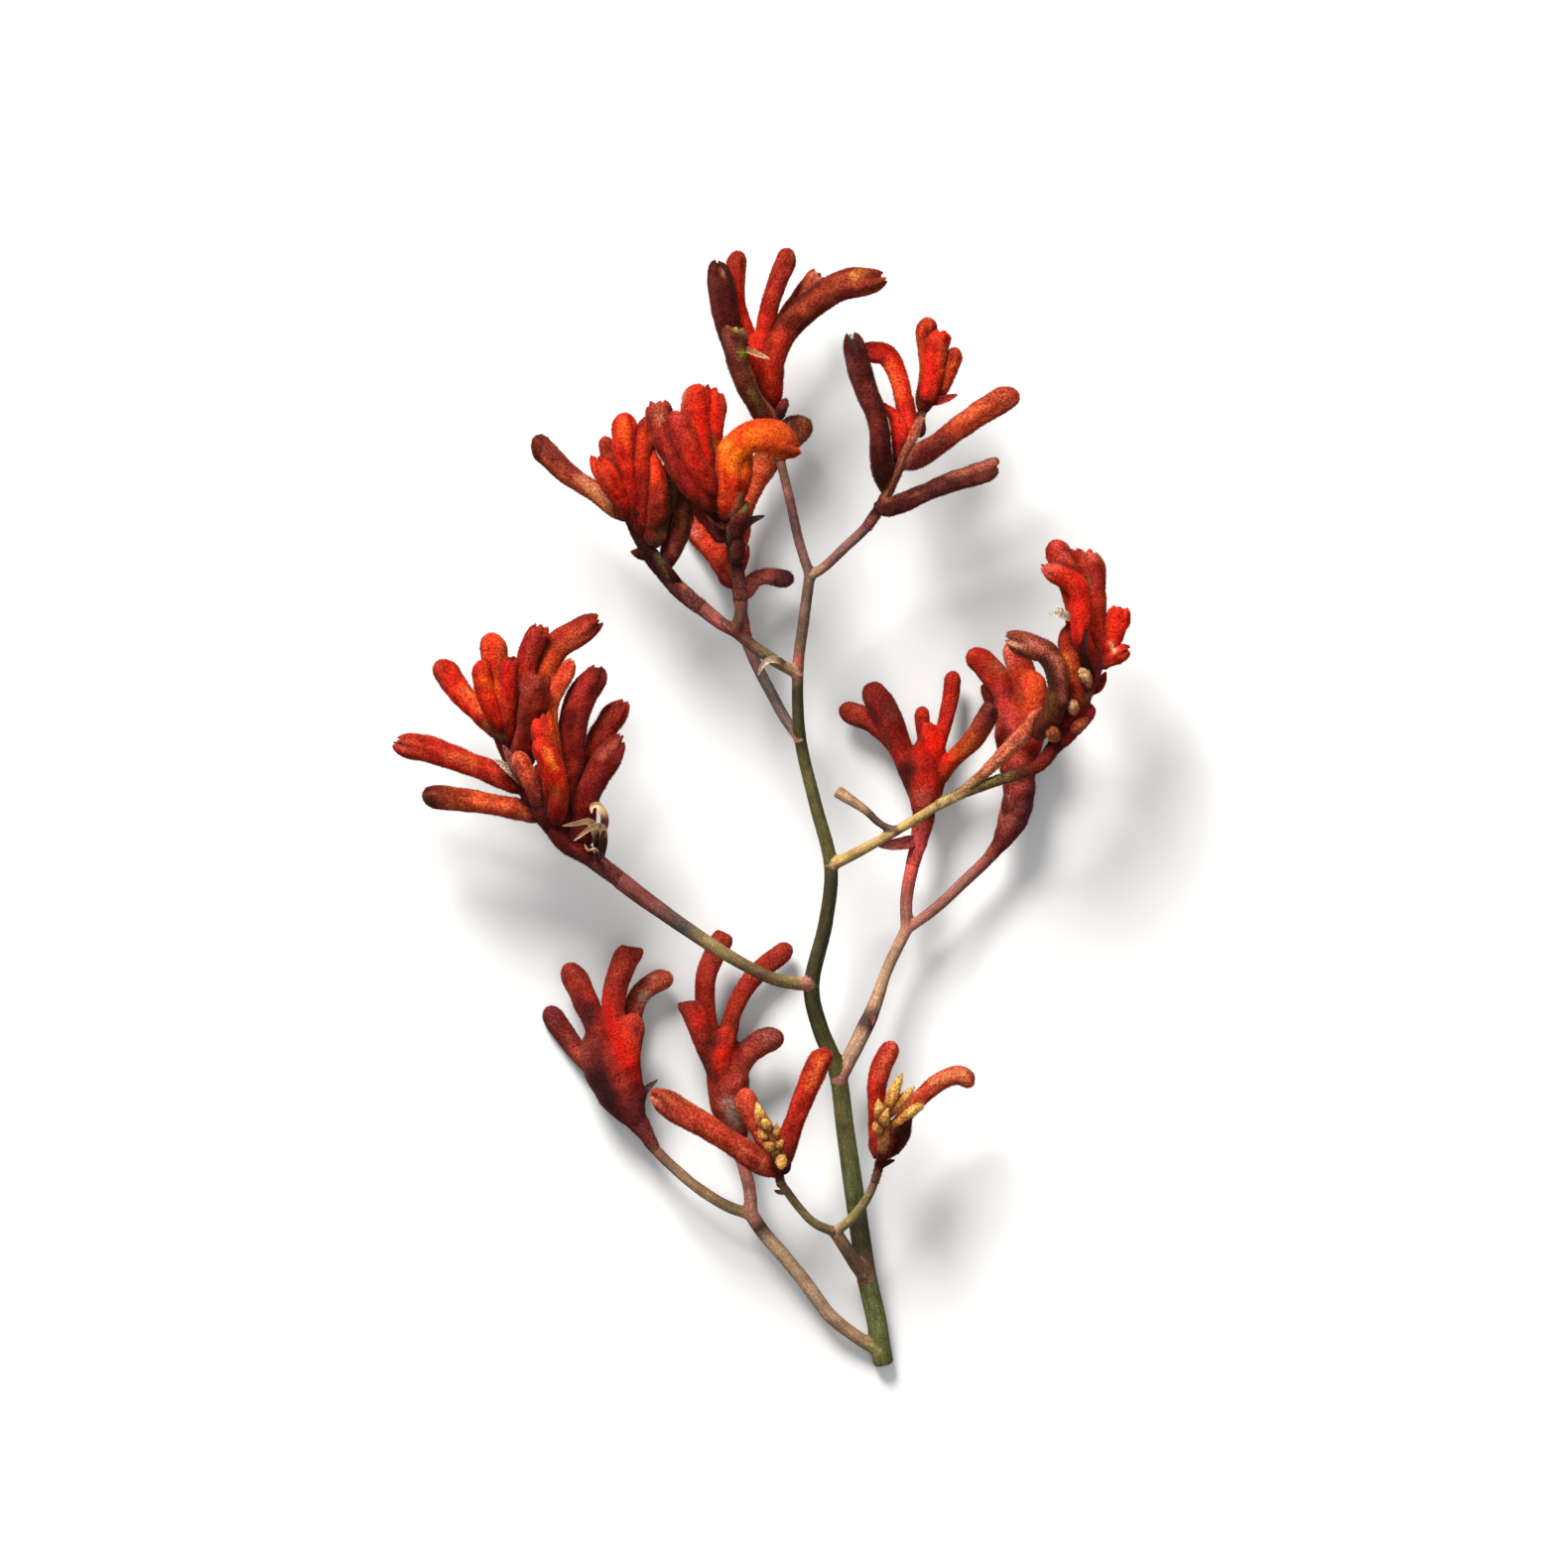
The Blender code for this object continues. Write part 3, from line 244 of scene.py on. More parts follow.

# The flower heads. Each has the slot of its finish, the skin colour of its foot, the felt colour of
# its axis, and whether its flowers are webbed at their feet. Its axis has a route and girths. A
# flower has a form, a girth, a felt colour and a route, and a bract has a width, a felt colour and a
# route. A spot has a colour, its reach in millimetres, and its place or the two ends of a streak.
# The spots are partly patches of the felt's own colour and partly painted light and shade: painted
# highlights on the sides of flowers that face the light, and painted shade on their undersides and
# in the gaps between them.
HEADS = {}
HEADS["crown_head"] = {
    "slot": "rust_felt", "foot": "bark", "tone": "dark", "webbed": False,
    "axis": ([(786, 462, 38.5), (784, 440, 38), (780, 415, 38), (772, 388, 38)], (3.6, 3)),
    "flowers": [
        ("mouth", 7.2, "olive", [(779, 430, 38), (757, 399, 50.4), (744, 366, 56), (741, 332, 57)]),
        ("beak", 8.2, "dark", [(779, 413, 38), (748, 368, 38), (731, 318, 41), (725, 267, 43)]),
        ("round", 6.2, "red", [(778, 408, 38), (759, 352, 36), (741, 302, 34), (743, 252, 32)]),
        ("round", 6.2, "rust", [(777, 406, 38), (769, 350, 38), (778, 300, 38), (797, 251, 37)]),
        ("mouth", 8, "copper", [(775, 398, 37), (782, 343, 30), (806, 306, 27), (827, 278, 25)]),
        ("beak", 9.3, "smoulder", [(778, 408, 39), (776, 367, 45.3), (798, 327, 49), (838, 294, 51),
            (885, 279, 50)]),
        ("round", 8.4, "scarlet", [(778, 410, 38), (768, 386, 42), (765, 362, 44), (764, 334, 42)]),
        ("knob", 3.8, "soot", [(783, 426, 38), (787, 414, 42), (792, 402, 43)]),
    ],
    "bracts": [
        (2.2, "cream", [(747, 352, 56), (758, 356, 61), (776, 364, 62)]),
        (2.4, "soot", [(785, 440, 38), (792, 432, 42), (797, 424, 43)]),
    ],
    "spots": [
        ((206, 34, 16), 4.6, (763, 330, 40), (780, 392, 42)),
        ((186, 30, 14), 3, (748, 305, 34), (758, 335, 38)),
        ((128, 34, 22), 3.2, (745, 250, 34), (744, 262, 34)),
        ((96, 44, 24), 1.5, (802, 256, 37), (797, 268, 37)),
        ((240, 176, 130), 0.8, (731, 268, 46), (729, 276, 47)),
        ((54, 8, 12), 1.5, (738, 276, 43), (746, 330, 41)),
        ((112, 34, 32), 1.3, (715, 280, 46), (722, 330, 44)),
        ((76, 14, 16), 2.6, (728, 300, 44), (740, 360, 42)),
        ((196, 160, 96), 1.2, (738, 329, 60), (752, 336, 61)), ((112, 122, 30), 1.6, (749, 358, 60)),
        ((60, 18, 18), 2.2, (744, 344, 60)), ((150, 60, 56), 1.1, (733, 340, 59), (744, 366, 58)),
        ((190, 108, 78), 1, (757, 372, 56), (783, 426, 42)),
        ((126, 108, 60), 1.4, (758, 396, 54), (766, 414, 48)),
        ((78, 18, 18), 1.8, (738, 366, 57), (762, 410, 46)),
        ((220, 134, 66), 1.5, (868, 276, 53), (860, 280, 54)),
        ((86, 16, 18), 1.8, (880, 292, 48), (812, 326, 46)),
        ((158, 56, 30), 1.8, (846, 284, 54), (806, 314, 53)),
        ((206, 46, 22), 2.8, (788, 340, 49), (779, 378, 46)),
        ((176, 34, 20), 2.6, (793, 318, 30), (788, 336, 31)), ((216, 134, 104), 1.4, (824, 277, 27)),
    ],
}
HEADS["upper_right_head"] = {
    "slot": "rust_felt", "foot": "plum", "tone": "dusky", "webbed": False,
    "axis": ([(874, 530, 41), (890, 505, 42), (904, 475, 42), (916, 446, 42), (929, 416, 41),
        (936, 402, 40)], (3.6, 3.4, 2.8)),
    "flowers": [
        ("mouth", 6.6, "dusky", [(882, 513, 42), (906, 508, 44), (951, 489, 46), (1005, 472, 47)]),
        ("round", 8, "ember", [(907, 468, 42), (936, 454, 46), (977, 424, 48), (1024, 394, 48)]),
        ("beak", 7.5, "dark", [(893, 494, 42), (888, 462, 47), (884, 424, 51), (869, 384, 53),
            (858, 341, 54)]),
        ("round", 6.6, "scarlet", [(919, 440, 42), (911, 404, 38), (903, 373, 35), (890, 356, 34),
            (867, 356, 34)]),
        ("pear", 6, "scarlet", [(905, 471, 42), (907, 444, 44), (903, 424, 43), (891, 405, 41)]),
        ("round", 6.6, "blaze", [(930, 414, 41), (935, 385, 39), (935, 354, 37), (932, 320, 36)]),
        ("mouth", 7.6, "scarlet", [(933, 408, 41), (939, 380, 41), (941, 358, 40), (945, 337, 39)]),
        ("horn", 3.8, "sprig", [(889, 506, 43), (902, 478, 46), (915, 450, 46.4), (929, 420, 44)]),
        ("round", 5.2, "blaze", [(935, 404, 40), (949, 391, 39), (957, 373, 38), (965, 351, 38)]),
    ],
    "bracts": [
        (3, "rust", [(934, 406, 40), (950, 403, 43), (965, 398, 44)]),
        (2.6, "rust", [(908, 466, 42), (919, 462, 46), (922, 448, 47)]),
        (2.6, "dark", [(920, 438, 42), (929, 436, 45), (931, 424, 46)]),
    ],
    "spots": [
        ((46, 34, 34), 1.8, (858, 343, 56), (862, 356, 55)), ((216, 190, 170), 0.6, (858, 340, 57)),
        ((118, 54, 54), 1.3, (856, 362, 55), (868, 410, 52)),
        ((124, 42, 33), 2.4, (872, 392, 54), (884, 440, 52)),
        ((172, 30, 26), 1.4, (875, 352, 36), (895, 366, 37)),
        ((190, 40, 30), 2.2, (870, 356, 36), (882, 357, 37)),
        ((238, 84, 38), 2.2, (896, 370, 37), (906, 396, 39)),
        ((222, 44, 26), 2.4, (911, 412, 41), (916, 434, 43)),
        ((196, 82, 50), 1.6, (962, 426, 51), (988, 408, 51)),
        ((78, 18, 20), 3.6, (922, 464, 47), (950, 446, 50)),
        ((164, 60, 44), 2.4, (1010, 402, 50), (1024, 394, 50)),
        ((160, 84, 60), 1.5, (892, 502, 44), (926, 440, 44)),
        ((116, 26, 22), 1.8, (1020, 408, 47), (970, 446, 46)), ((222, 150, 104), 0.8, (942, 342, 41)),
        ((222, 28, 16), 1.5, (933, 396, 44), (936, 366, 43)),
        ((214, 78, 36), 1.5, (949, 378, 41), (951, 350, 41)),
        ((208, 76, 34), 1.6, (925, 380, 41), (926, 346, 39)),
        ((172, 100, 80), 1.7, (915, 466, 44), (930, 424, 43)),
        ((206, 140, 112), 0.9, (920, 452, 45), (929, 432, 44)),
        ((70, 20, 22), 2, (900, 470, 46), (888, 440, 50)),
        ((170, 86, 70), 0.9, (1002, 465, 49), (956, 480, 48)),
        ((58, 26, 26), 1.8, (1004, 476, 47), (940, 498, 44)),
    ],
}
HEADS["upper_left_head"] = {
    "slot": "bright_felt", "foot": "plum", "tone": "dark", "webbed": False,
    "axis": ([(705, 611, 44.5), (685, 595, 44.5), (666, 573, 44.5), (651, 552, 44), (640, 532, 43),
        (632, 514, 42)], (5.2, 5.4, 3.8)),
    "flowers": [
        ("round", 7.2, "peach", [(636, 522, 43), (603, 498, 40), (568, 474, 37), (537, 442, 34)]),
        ("beak", 7.8, "scarlet", [(637, 522, 44), (625, 500, 50), (614, 481, 53), (606, 463, 54)]),
        ("round", 5, "rust", [(640, 527, 43), (625, 490, 40), (614, 462, 38), (610, 440, 38)]),
        ("round", 7.8, "scarlet", [(643, 531, 44), (635, 490, 50), (630, 450, 52), (629, 417, 52)]),
        ("beak", 8, "rust", [(648, 538, 44), (646, 495, 49), (648, 456, 51), (658, 427, 51)]),
        ("pear", 7.4, "red", [(656, 545, 45), (664, 512, 51), (664, 484, 54), (659, 453, 54)]),
        ("round", 7.6, "umber", [(658, 550, 44), (664, 522, 48), (673, 496, 49), (683, 466, 49)]),
        ("pear", 7.4, "dark", [(669, 573, 44), (677, 548, 41), (682, 521, 40), (688, 498, 40)]),
        ("palm", 7, "umber", [(672, 574, 42), (684, 540, 43), (690, 505, 45), (684, 470, 46)]),
        ("pear", 4.8, "dark", [(661, 555, 44), (650, 558, 44), (636, 555, 43)]),
    ],
    "bracts": [
        (2.6, "dark", [(652, 543, 45), (643, 522, 50), (638, 510, 52)]),
        (3, "dark", [(686, 593, 45), (677, 578, 49), (669, 568, 50)]),
    ],
    "spots": [
        ((238, 58, 14), 1.8, (659, 466, 56), (661, 484, 56)),
        ((130, 20, 16), 2.4, (659, 504, 52), (656, 536, 48)),
        ((58, 44, 20), 3.2, (672, 496, 50), (666, 530, 47)),
        ((112, 18, 20), 2.6, (686, 510, 42), (678, 556, 42)),
        ((232, 78, 28), 1.7, (628, 426, 55), (630, 446, 56)),
        ((206, 60, 26), 1.7, (605, 470, 57), (612, 490, 55)),
        ((216, 34, 14), 1.6, (628, 486, 52), (632, 506, 50)),
        ((158, 20, 12), 2.4, (640, 470, 52), (644, 520, 48)),
        ((66, 20, 12), 2.6, (616, 500, 47), (634, 534, 45)),
        ((228, 52, 18), 2, (648, 440, 53), (646, 470, 52)),
        ((186, 100, 74), 1.2, (672, 540, 48), (690, 590, 47)),
        ((84, 62, 40), 1.3, (664, 560, 47), (676, 580, 47)),
        ((204, 122, 86), 1.8, (586, 482, 41), (614, 506, 44)),
        ((116, 38, 32), 2.6, (552, 452, 37), (578, 472, 39)),
        ((82, 24, 14), 2, (540, 446, 34), (548, 454, 35)),
    ],
}
HEADS["upper_middle_head"] = {
    "slot": "bright_felt", "foot": "plum", "tone": "dark", "webbed": False,
    "axis": ([(747, 602, 49), (744, 580, 51), (740, 558, 53), (735, 535, 54), (727, 512, 55),
        (720, 497, 55)], (4.4, 4, 3.4)),
    "flowers": [
        ("round", 8.8, "scarlet", [(720, 500, 55), (709, 465, 59), (701, 425, 60), (702, 389, 59)]),
        ("mouth", 8.6, "red", [(722, 502, 55), (719, 465, 56), (716, 430, 56), (722, 397, 55)]),
        ("beak", 10.2, "glow", [(733, 522, 56), (736, 489, 61), (738, 456, 64), (767, 440, 64),
            (803, 449, 61)]),
        ("palm", 9.4, "glow", [(733, 514, 56), (741, 490, 60), (748, 470, 61), (758, 456, 61)]),
        ("round", 8.2, "red", [(724, 506, 56), (706, 478, 65), (691, 450, 68), (680, 416, 67)]),
        ("mouth", 8.4, "rust", [(727, 512, 56), (696, 488, 63), (675, 452, 66), (662, 411, 65)]),
        ("round", 8.2, "crimson", [(735, 543, 54), (718, 524, 52), (702, 499, 51)]),
        ("pear", 6.8, "dark", [(737, 548, 54), (745, 526, 59), (752, 506, 60)]),
        ("pear", 5.2, "dark", [(741, 572, 52), (744, 553, 56), (742, 534, 58)]),
    ],
    "bracts": [
        (3, "soot", [(740, 548, 53), (753, 528, 52), (771, 520, 51)]),
        (2.4, "dark", [(735, 540, 54), (723, 535, 60), (712, 520, 62)]),
    ],
    "spots": [
        ((255, 140, 34), 2.6, (732, 452, 64), (741, 474, 64)),
        ((255, 112, 24), 2.4, (744, 468, 66), (764, 440, 67)),
        ((214, 30, 10), 3.2, (741, 486, 62), (735, 510, 59)),
        ((214, 66, 26), 1.4, (742, 440, 65), (778, 432, 65)),
        ((130, 22, 22), 1.8, (758, 472, 63), (800, 458, 60)),
        ((178, 40, 26), 2.2, (801, 440, 63), (794, 452, 64)),
        ((236, 96, 26), 2.6, (776, 436, 67), (792, 434, 65)),
        ((196, 104, 84), 1.4, (690, 396, 60), (692, 416, 60)),
        ((214, 24, 8), 2.4, (706, 420, 64), (708, 462, 63)),
        ((176, 70, 28), 2, (694, 430, 63), (696, 452, 64)),
        ((228, 36, 14), 2.6, (718, 404, 58), (722, 430, 59)),
        ((112, 54, 20), 1.6, (716, 442, 59), (724, 476, 58)),
        ((176, 96, 72), 2, (663, 414, 67), (666, 424, 68)),
        ((136, 24, 26), 2.2, (672, 430, 68), (684, 470, 67)),
        ((190, 56, 60), 1.3, (683, 424, 69), (690, 444, 69)),
        ((216, 34, 14), 3, (698, 468, 67), (706, 490, 62)),
        ((190, 56, 52), 1.6, (693, 486, 64), (704, 500, 60)),
        ((66, 16, 18), 3, (710, 506, 56), (726, 530, 58)),
        ((72, 26, 22), 2.6, (736, 530, 58), (742, 560, 56)),
        ((206, 150, 112), 0.9, (745, 500, 62), (737, 520, 60)), ((112, 98, 52), 1.8, (750, 512, 62)),
        ((126, 100, 60), 1.2, (730, 536, 60), (734, 556, 59)),
        ((96, 22, 24), 2.2, (690, 494, 52), (704, 514, 52)),
    ],
}
HEADS["upper_back_head"] = {
    "slot": "bright_felt", "foot": "rosewood", "tone": "red", "webbed": False,
    "axis": ([(751, 640, 19.5), (746, 610, 17), (742, 580, 15), (739, 552, 14)], (4, 3.6)),
    "flowers": [
        ("round", 8.4, "coral", [(743, 588, 16), (724, 560, 8), (705, 535, 3.8), (691, 507, 3.4)]),
        ("round", 5.6, "wine", [(747, 600, 17), (761, 583, 14), (777, 580, 12), (799, 585, 10)]),
        ("round", 9.2, "brown", [(740, 556, 14), (747, 509, 14), (774, 461, 14), (813, 419, 13)]),
    ],
    "bracts": [
        (2.6, "rust", [(743, 582, 15), (752, 560, 19), (754, 548, 20)]),
    ],
    "spots": [
        ((238, 92, 58), 3.2, (768, 470, 17), (756, 498, 17)),
        ((222, 58, 34), 3, (748, 514, 17), (743, 550, 16)),
        ((206, 104, 74), 4, (792, 440, 16), (806, 426, 15)), ((58, 56, 62), 1.6, (817, 417, 14)),
        ((226, 64, 36), 4, (700, 524, 6), (716, 552, 9)),
        ((222, 112, 98), 1.8, (690, 512, 6), (700, 536, 7)),
        ((128, 30, 30), 2.2, (728, 570, 12), (742, 590, 16)),
        ((196, 92, 82), 2.2, (752, 596, 17), (776, 577, 14)),
        ((92, 50, 54), 2.4, (790, 586, 11), (798, 586, 11)),
    ],
}
HEADS["left_head"] = {
    "slot": "rust_felt", "foot": "plum", "tone": "crimson", "webbed": False,
    "axis": ([(624, 886, 46.5), (600, 867, 47), (572, 849, 47), (551, 825, 46.5), (533, 799, 45),
        (516, 767, 44), (504, 738, 43)], (5.4, 6.6, 6, 5)),
    "flowers": [
        ("beak", 8.3, "red", [(534, 793, 45), (500, 780, 41), (450, 761, 37), (402, 746, 34)]),
        ("round", 7.6, "ochre", [(552, 820, 46), (520, 815, 43), (475, 807, 41), (426, 802, 39)]),
        ("round", 7.8, "scarlet", [(510, 740, 43), (485, 719, 38), (462, 696, 34), (443, 665, 31)]),
        ("round", 8.4, "orange", [(513, 747, 44), (505, 710, 49), (500, 675, 51), (497, 638, 51)]),
        ("round", 6.2, "scarlet", [(512, 744, 44), (496, 716, 52), (488, 691, 55), (484, 666, 56)]),
        ("mouth", 5.6, "red", [(516, 752, 44), (514, 716, 53), (513, 690, 56), (515, 664, 57)]),
        ("mouth", 7, "red", [(520, 762, 44), (526, 712, 42), (530, 670, 41), (543, 633, 41)]),
        ("beak", 8.8, "rust", [(524, 770, 43), (543, 712, 38), (558, 655, 36), (603, 628, 35)]),
        ("mouth", 8.8, "rust", [(525, 772, 45), (533, 738, 56), (539, 706, 64), (542, 679, 67)]),
        ("beak", 5.4, "orange", [(562, 830, 48), (562, 776, 57), (555, 714, 58), (577, 668, 53)]),
        ("beak", 9.4, "crimson", [(570, 840, 47), (575, 780, 51), (579, 724, 51), (598, 675, 49)]),
        ("beak", 7.6, "rust", [(580, 848, 47), (586, 796, 44), (602, 748, 42), (627, 708, 40)]),
        ("beak", 8.8, "crimson", [(586, 853, 47), (590, 812, 53), (605, 776, 54), (627, 749, 52)]),
        ("palm", 8.4, "crimson", [(556, 838, 47), (549, 815, 50), (543, 792, 52), (541, 770, 52)]),
        ("mouth", 7.4, "scarlet", [(556, 824, 48), (557, 787, 59), (551, 752, 63), (545, 722, 64)]),
        ("round", 7.2, "scarlet", [(560, 828, 48), (564, 797, 61), (555, 767, 66), (541, 744, 67)]),
        ("round", 5.6, "salmon", [(548, 815, 47), (541, 801, 56), (533, 782, 60), (521, 758, 61)]),
    ],
    "bracts": [
        (4, "dusty", [(536, 796, 47), (520, 774, 53), (508, 751, 55)]),
        (3.4, "paper", [(534, 794, 45), (515, 776, 49), (499, 765, 50)]),
        (3.4, "crimson", [(602, 864, 48), (590, 856, 53), (572, 850, 54)]),
    ],
    "spots": [
        ((222, 90, 44), 2.2, (470, 696, 37), (488, 716, 41)),
        ((150, 66, 52), 1.4, (440, 668, 32), (446, 690, 33)),
        ((216, 48, 20), 2.8, (498, 640, 53), (495, 658, 54)),
        ((246, 92, 20), 2.4, (490, 684, 56), (502, 700, 54)),
        ((196, 26, 12), 1.8, (496, 668, 54), (496, 684, 54)),
        ((204, 20, 14), 2.2, (513, 674, 59), (512, 700, 58)),
        ((236, 44, 16), 2.6, (496, 704, 56), (503, 722, 52)),
        ((98, 24, 18), 2.8, (496, 730, 46), (512, 752, 46)),
        ((128, 120, 62), 1.4, (494, 730, 45), (506, 742, 46)),
        ((150, 46, 36), 2, (542, 636, 43), (536, 660, 43)),
        ((206, 80, 48), 2.4, (568, 652, 39), (588, 636, 37)),
        ((128, 40, 34), 1.6, (602, 634, 34), (594, 642, 34)),
        ((226, 84, 34), 2.6, (556, 662, 38), (550, 682, 40)),
        ((118, 28, 26), 2.8, (538, 702, 66), (530, 732, 60)),
        ((176, 66, 54), 2, (541, 688, 70), (531, 696, 69)),
        ((208, 54, 38), 2.2, (572, 672, 57), (557, 694, 61)),
        ((226, 82, 22), 2, (557, 716, 62), (559, 748, 64)),
        ((44, 10, 14), 1.8, (606, 674, 49), (602, 688, 49)),
        ((158, 34, 28), 2.2, (592, 680, 53), (583, 706, 54)),
        ((146, 44, 36), 1.8, (622, 712, 42), (606, 734, 43)),
        ((172, 74, 56), 1.6, (622, 750, 56), (606, 762, 56)),
        ((88, 16, 20), 2.6, (604, 790, 54), (594, 822, 51)),
        ((228, 42, 28), 2, (543, 728, 67), (542, 748, 69)),
        ((232, 28, 8), 3, (556, 762, 69), (560, 778, 66)),
        ((238, 116, 40), 1.3, (552, 756, 71), (560, 774, 69)),
        ((222, 76, 22), 2.2, (530, 770, 58), (534, 782, 58)),
        ((128, 48, 46), 2.4, (539, 806, 58), (545, 816, 54)),
        ((132, 110, 44), 1.8, (562, 796, 62), (567, 806, 58)),
        # painted shadow in the gap between two flowers
        ((40, 10, 12), 2, (541, 790, 56), (549, 806, 53)),
        ((206, 90, 46), 1.8, (452, 760, 44), (476, 770, 44)),
        ((44, 14, 14), 2.2, (428, 797, 40), (436, 808, 40)),
        ((214, 80, 44), 2.2, (480, 808, 44), (510, 812, 46)),
        ((156, 66, 54), 1.6, (404, 746, 36), (412, 752, 36)),
        ((96, 24, 24), 3, (560, 838, 51), (586, 856, 51)),
    ],
}
HEADS["lower_left_head"] = {
    "slot": "maroon_felt", "foot": "bark", "tone": "muted", "webbed": True,
    "axis": ([(660, 1160, 12), (649, 1142, 12), (637, 1124, 12), (630, 1103, 12), (627, 1080, 12)],
        (3.6, 6.6, 9, 8)),
    "flowers": [
        ("round", 7, "maroon", [(636, 1126, 12), (603, 1086, 7), (573, 1051, 3.2), (549, 1016, 2.9)]),
        ("round", 8.2, "muted", [(638, 1120, 12), (611, 1060, 12), (590, 1012, 12), (571, 971, 11)]),
        ("mouth", 8, "muted", [(638, 1114, 12), (620, 1052, 16), (619, 1000, 17), (634, 955, 17)]),
        ("round", 6.8, "blush", [(638, 1110, 12), (635, 1056, 9), (642, 1006, 8), (676, 982, 8)]),
        ("round", 8.2, "scarlet", [(641, 1118, 12), (634, 1082, 17), (634, 1052, 19), (641, 1022, 19)]),
        ("palm", 11.5, "maroon", [(640, 1136, 12), (618, 1104, 12), (600, 1070, 12), (590, 1040, 12)]),
        ("palm", 13, "muted", [(643, 1140, 12), (629, 1102, 14), (621, 1066, 15), (616, 1030, 14)]),
    ],
    "bracts": [
        (3, "soot", [(642, 1128, 12), (648, 1103, 15), (662, 1089, 16)]),
    ],
    "spots": [
        ((206, 24, 12), 3.2, (602, 1006, 20), (632, 1070, 22)),
        ((228, 60, 26), 2.2, (634, 1040, 22), (640, 1056, 22)),
        ((78, 22, 26), 3.2, (582, 1012, 18), (592, 1024, 18)),
        ((92, 26, 24), 3, (598, 1050, 20), (600, 1066, 20)),
        ((48, 16, 18), 4, (605, 1088, 19), (612, 1100, 19)),
        ((150, 48, 46), 3.2, (642, 1036, 22), (652, 1056, 18)), ((176, 66, 50), 4.5, (584, 1066, 8)),
        ((110, 38, 44), 3.4, (554, 1024, 5)), ((196, 74, 64), 3.2, (640, 1026, 14)),
        ((196, 160, 134), 1.9, (649, 1005, 11.5), (656, 1016, 11)),
        ((112, 40, 40), 5, (640, 1116, 16), (650, 1146, 14)), ((160, 44, 38), 3.2, (622, 1092, 19)),
        ((46, 14, 16), 4, (600, 1084, 17), (614, 1108, 17)),
        ((196, 164, 140), 1.9, (647, 1008, 20), (655, 1018, 18)),
        ((206, 92, 66), 4.6, (662, 990, 9), (676, 982, 9)),
        ((74, 22, 24), 2.6, (592, 1016, 17), (594, 1030, 17)),
    ],
}
HEADS["lower_middle_head"] = {
    "slot": "maroon_felt", "foot": "rosewood", "tone": "blush", "webbed": True,
    "axis": ([(748, 1172, 12), (741, 1145, 12), (738, 1120, 12), (733, 1096, 12), (729, 1076, 12)],
        (4.2, 6, 7)),
    "flowers": [
        ("mouth", 6.9, "muted", [(733, 1098, 12), (714, 1036, 12), (711, 986, 13), (730, 942, 13)]),
        ("round", 6.6, "muted", [(731, 1086, 12), (736, 1030, 9), (758, 987, 8), (798, 954, 7)]),
        ("round", 8.2, "blush", [(738, 1122, 12), (742, 1084, 14), (758, 1058, 15), (788, 1041, 15)]),
        ("mouth", 7.2, "muted", [(735, 1108, 12), (714, 1064, 16), (704, 1036, 18), (694, 1010, 18)]),
        ("round", 7.4, "red", [(736, 1112, 12), (728, 1086, 17), (727, 1060, 19), (733, 1034, 19)]),
        ("palm", 14, "muted", [(745, 1152, 12), (736, 1114, 13), (733, 1080, 14), (736, 1042, 14)]),
    ],
    "bracts": [
        (2.8, "rust", [(741, 1140, 12), (750, 1122, 17), (755, 1106, 18)]),
    ],
    "spots": [
        ((206, 30, 16), 3.6, (707, 1026, 21)), ((228, 34, 10), 3.2, (729, 1063, 22)),
        ((218, 52, 22), 3.2, (734, 1034, 20)), ((56, 16, 16), 3, (717, 1050, 21)),
        ((78, 26, 24), 3, (708, 1070, 18)), ((86, 48, 54), 2.4, (748, 1043, 18)),
        ((156, 74, 62), 3.6, (774, 1046, 18)), ((184, 66, 52), 4.2, (748, 1082, 18)),
        ((150, 118, 104), 2.4, (733, 1110, 18), (742, 1130, 18)), ((30, 18, 16), 1.4, (748, 1128, 18)),
        ((172, 54, 46), 3.6, (738, 1096, 20)),
    ],
}
HEADS["low_left_head"] = {
    "slot": "bright_felt", "foot": "bark", "tone": "red", "webbed": False,
    "axis": ([(787, 1193, 32), (785, 1183, 33.5), (784, 1174, 37), (784, 1167, 40.5)], (3, 2.8)),
    "flowers": [
        ("beak", 8.4, "copper", [(785, 1181, 33), (757, 1165, 34), (713, 1136, 36), (658, 1105, 38)]),
        ("round", 7.2, "red", [(785, 1179, 34), (795, 1146, 35.5), (811, 1103, 38), (831, 1056, 38)]),
        ("round", 7, "copper", [(785, 1181, 33), (768, 1143, 31), (757, 1122, 32), (746, 1099, 33)]),
    ],
    "bracts": [
        (2.2, "dark", [(785, 1182, 34), (793, 1179, 36), (797, 1172, 37)]),
    ],
    "spots": [
        ((206, 66, 44), 2.2, (690, 1122, 40), (720, 1136, 40)), ((196, 100, 70), 1.8, (660, 1108, 41)),
        ((222, 74, 48), 2.6, (751, 1102, 35), (762, 1128, 33)),
        ((222, 92, 44), 1.8, (826, 1068, 41), (816, 1094, 41)),
        ((150, 34, 26), 2, (786, 1170, 38), (794, 1146, 38)),
    ],
}
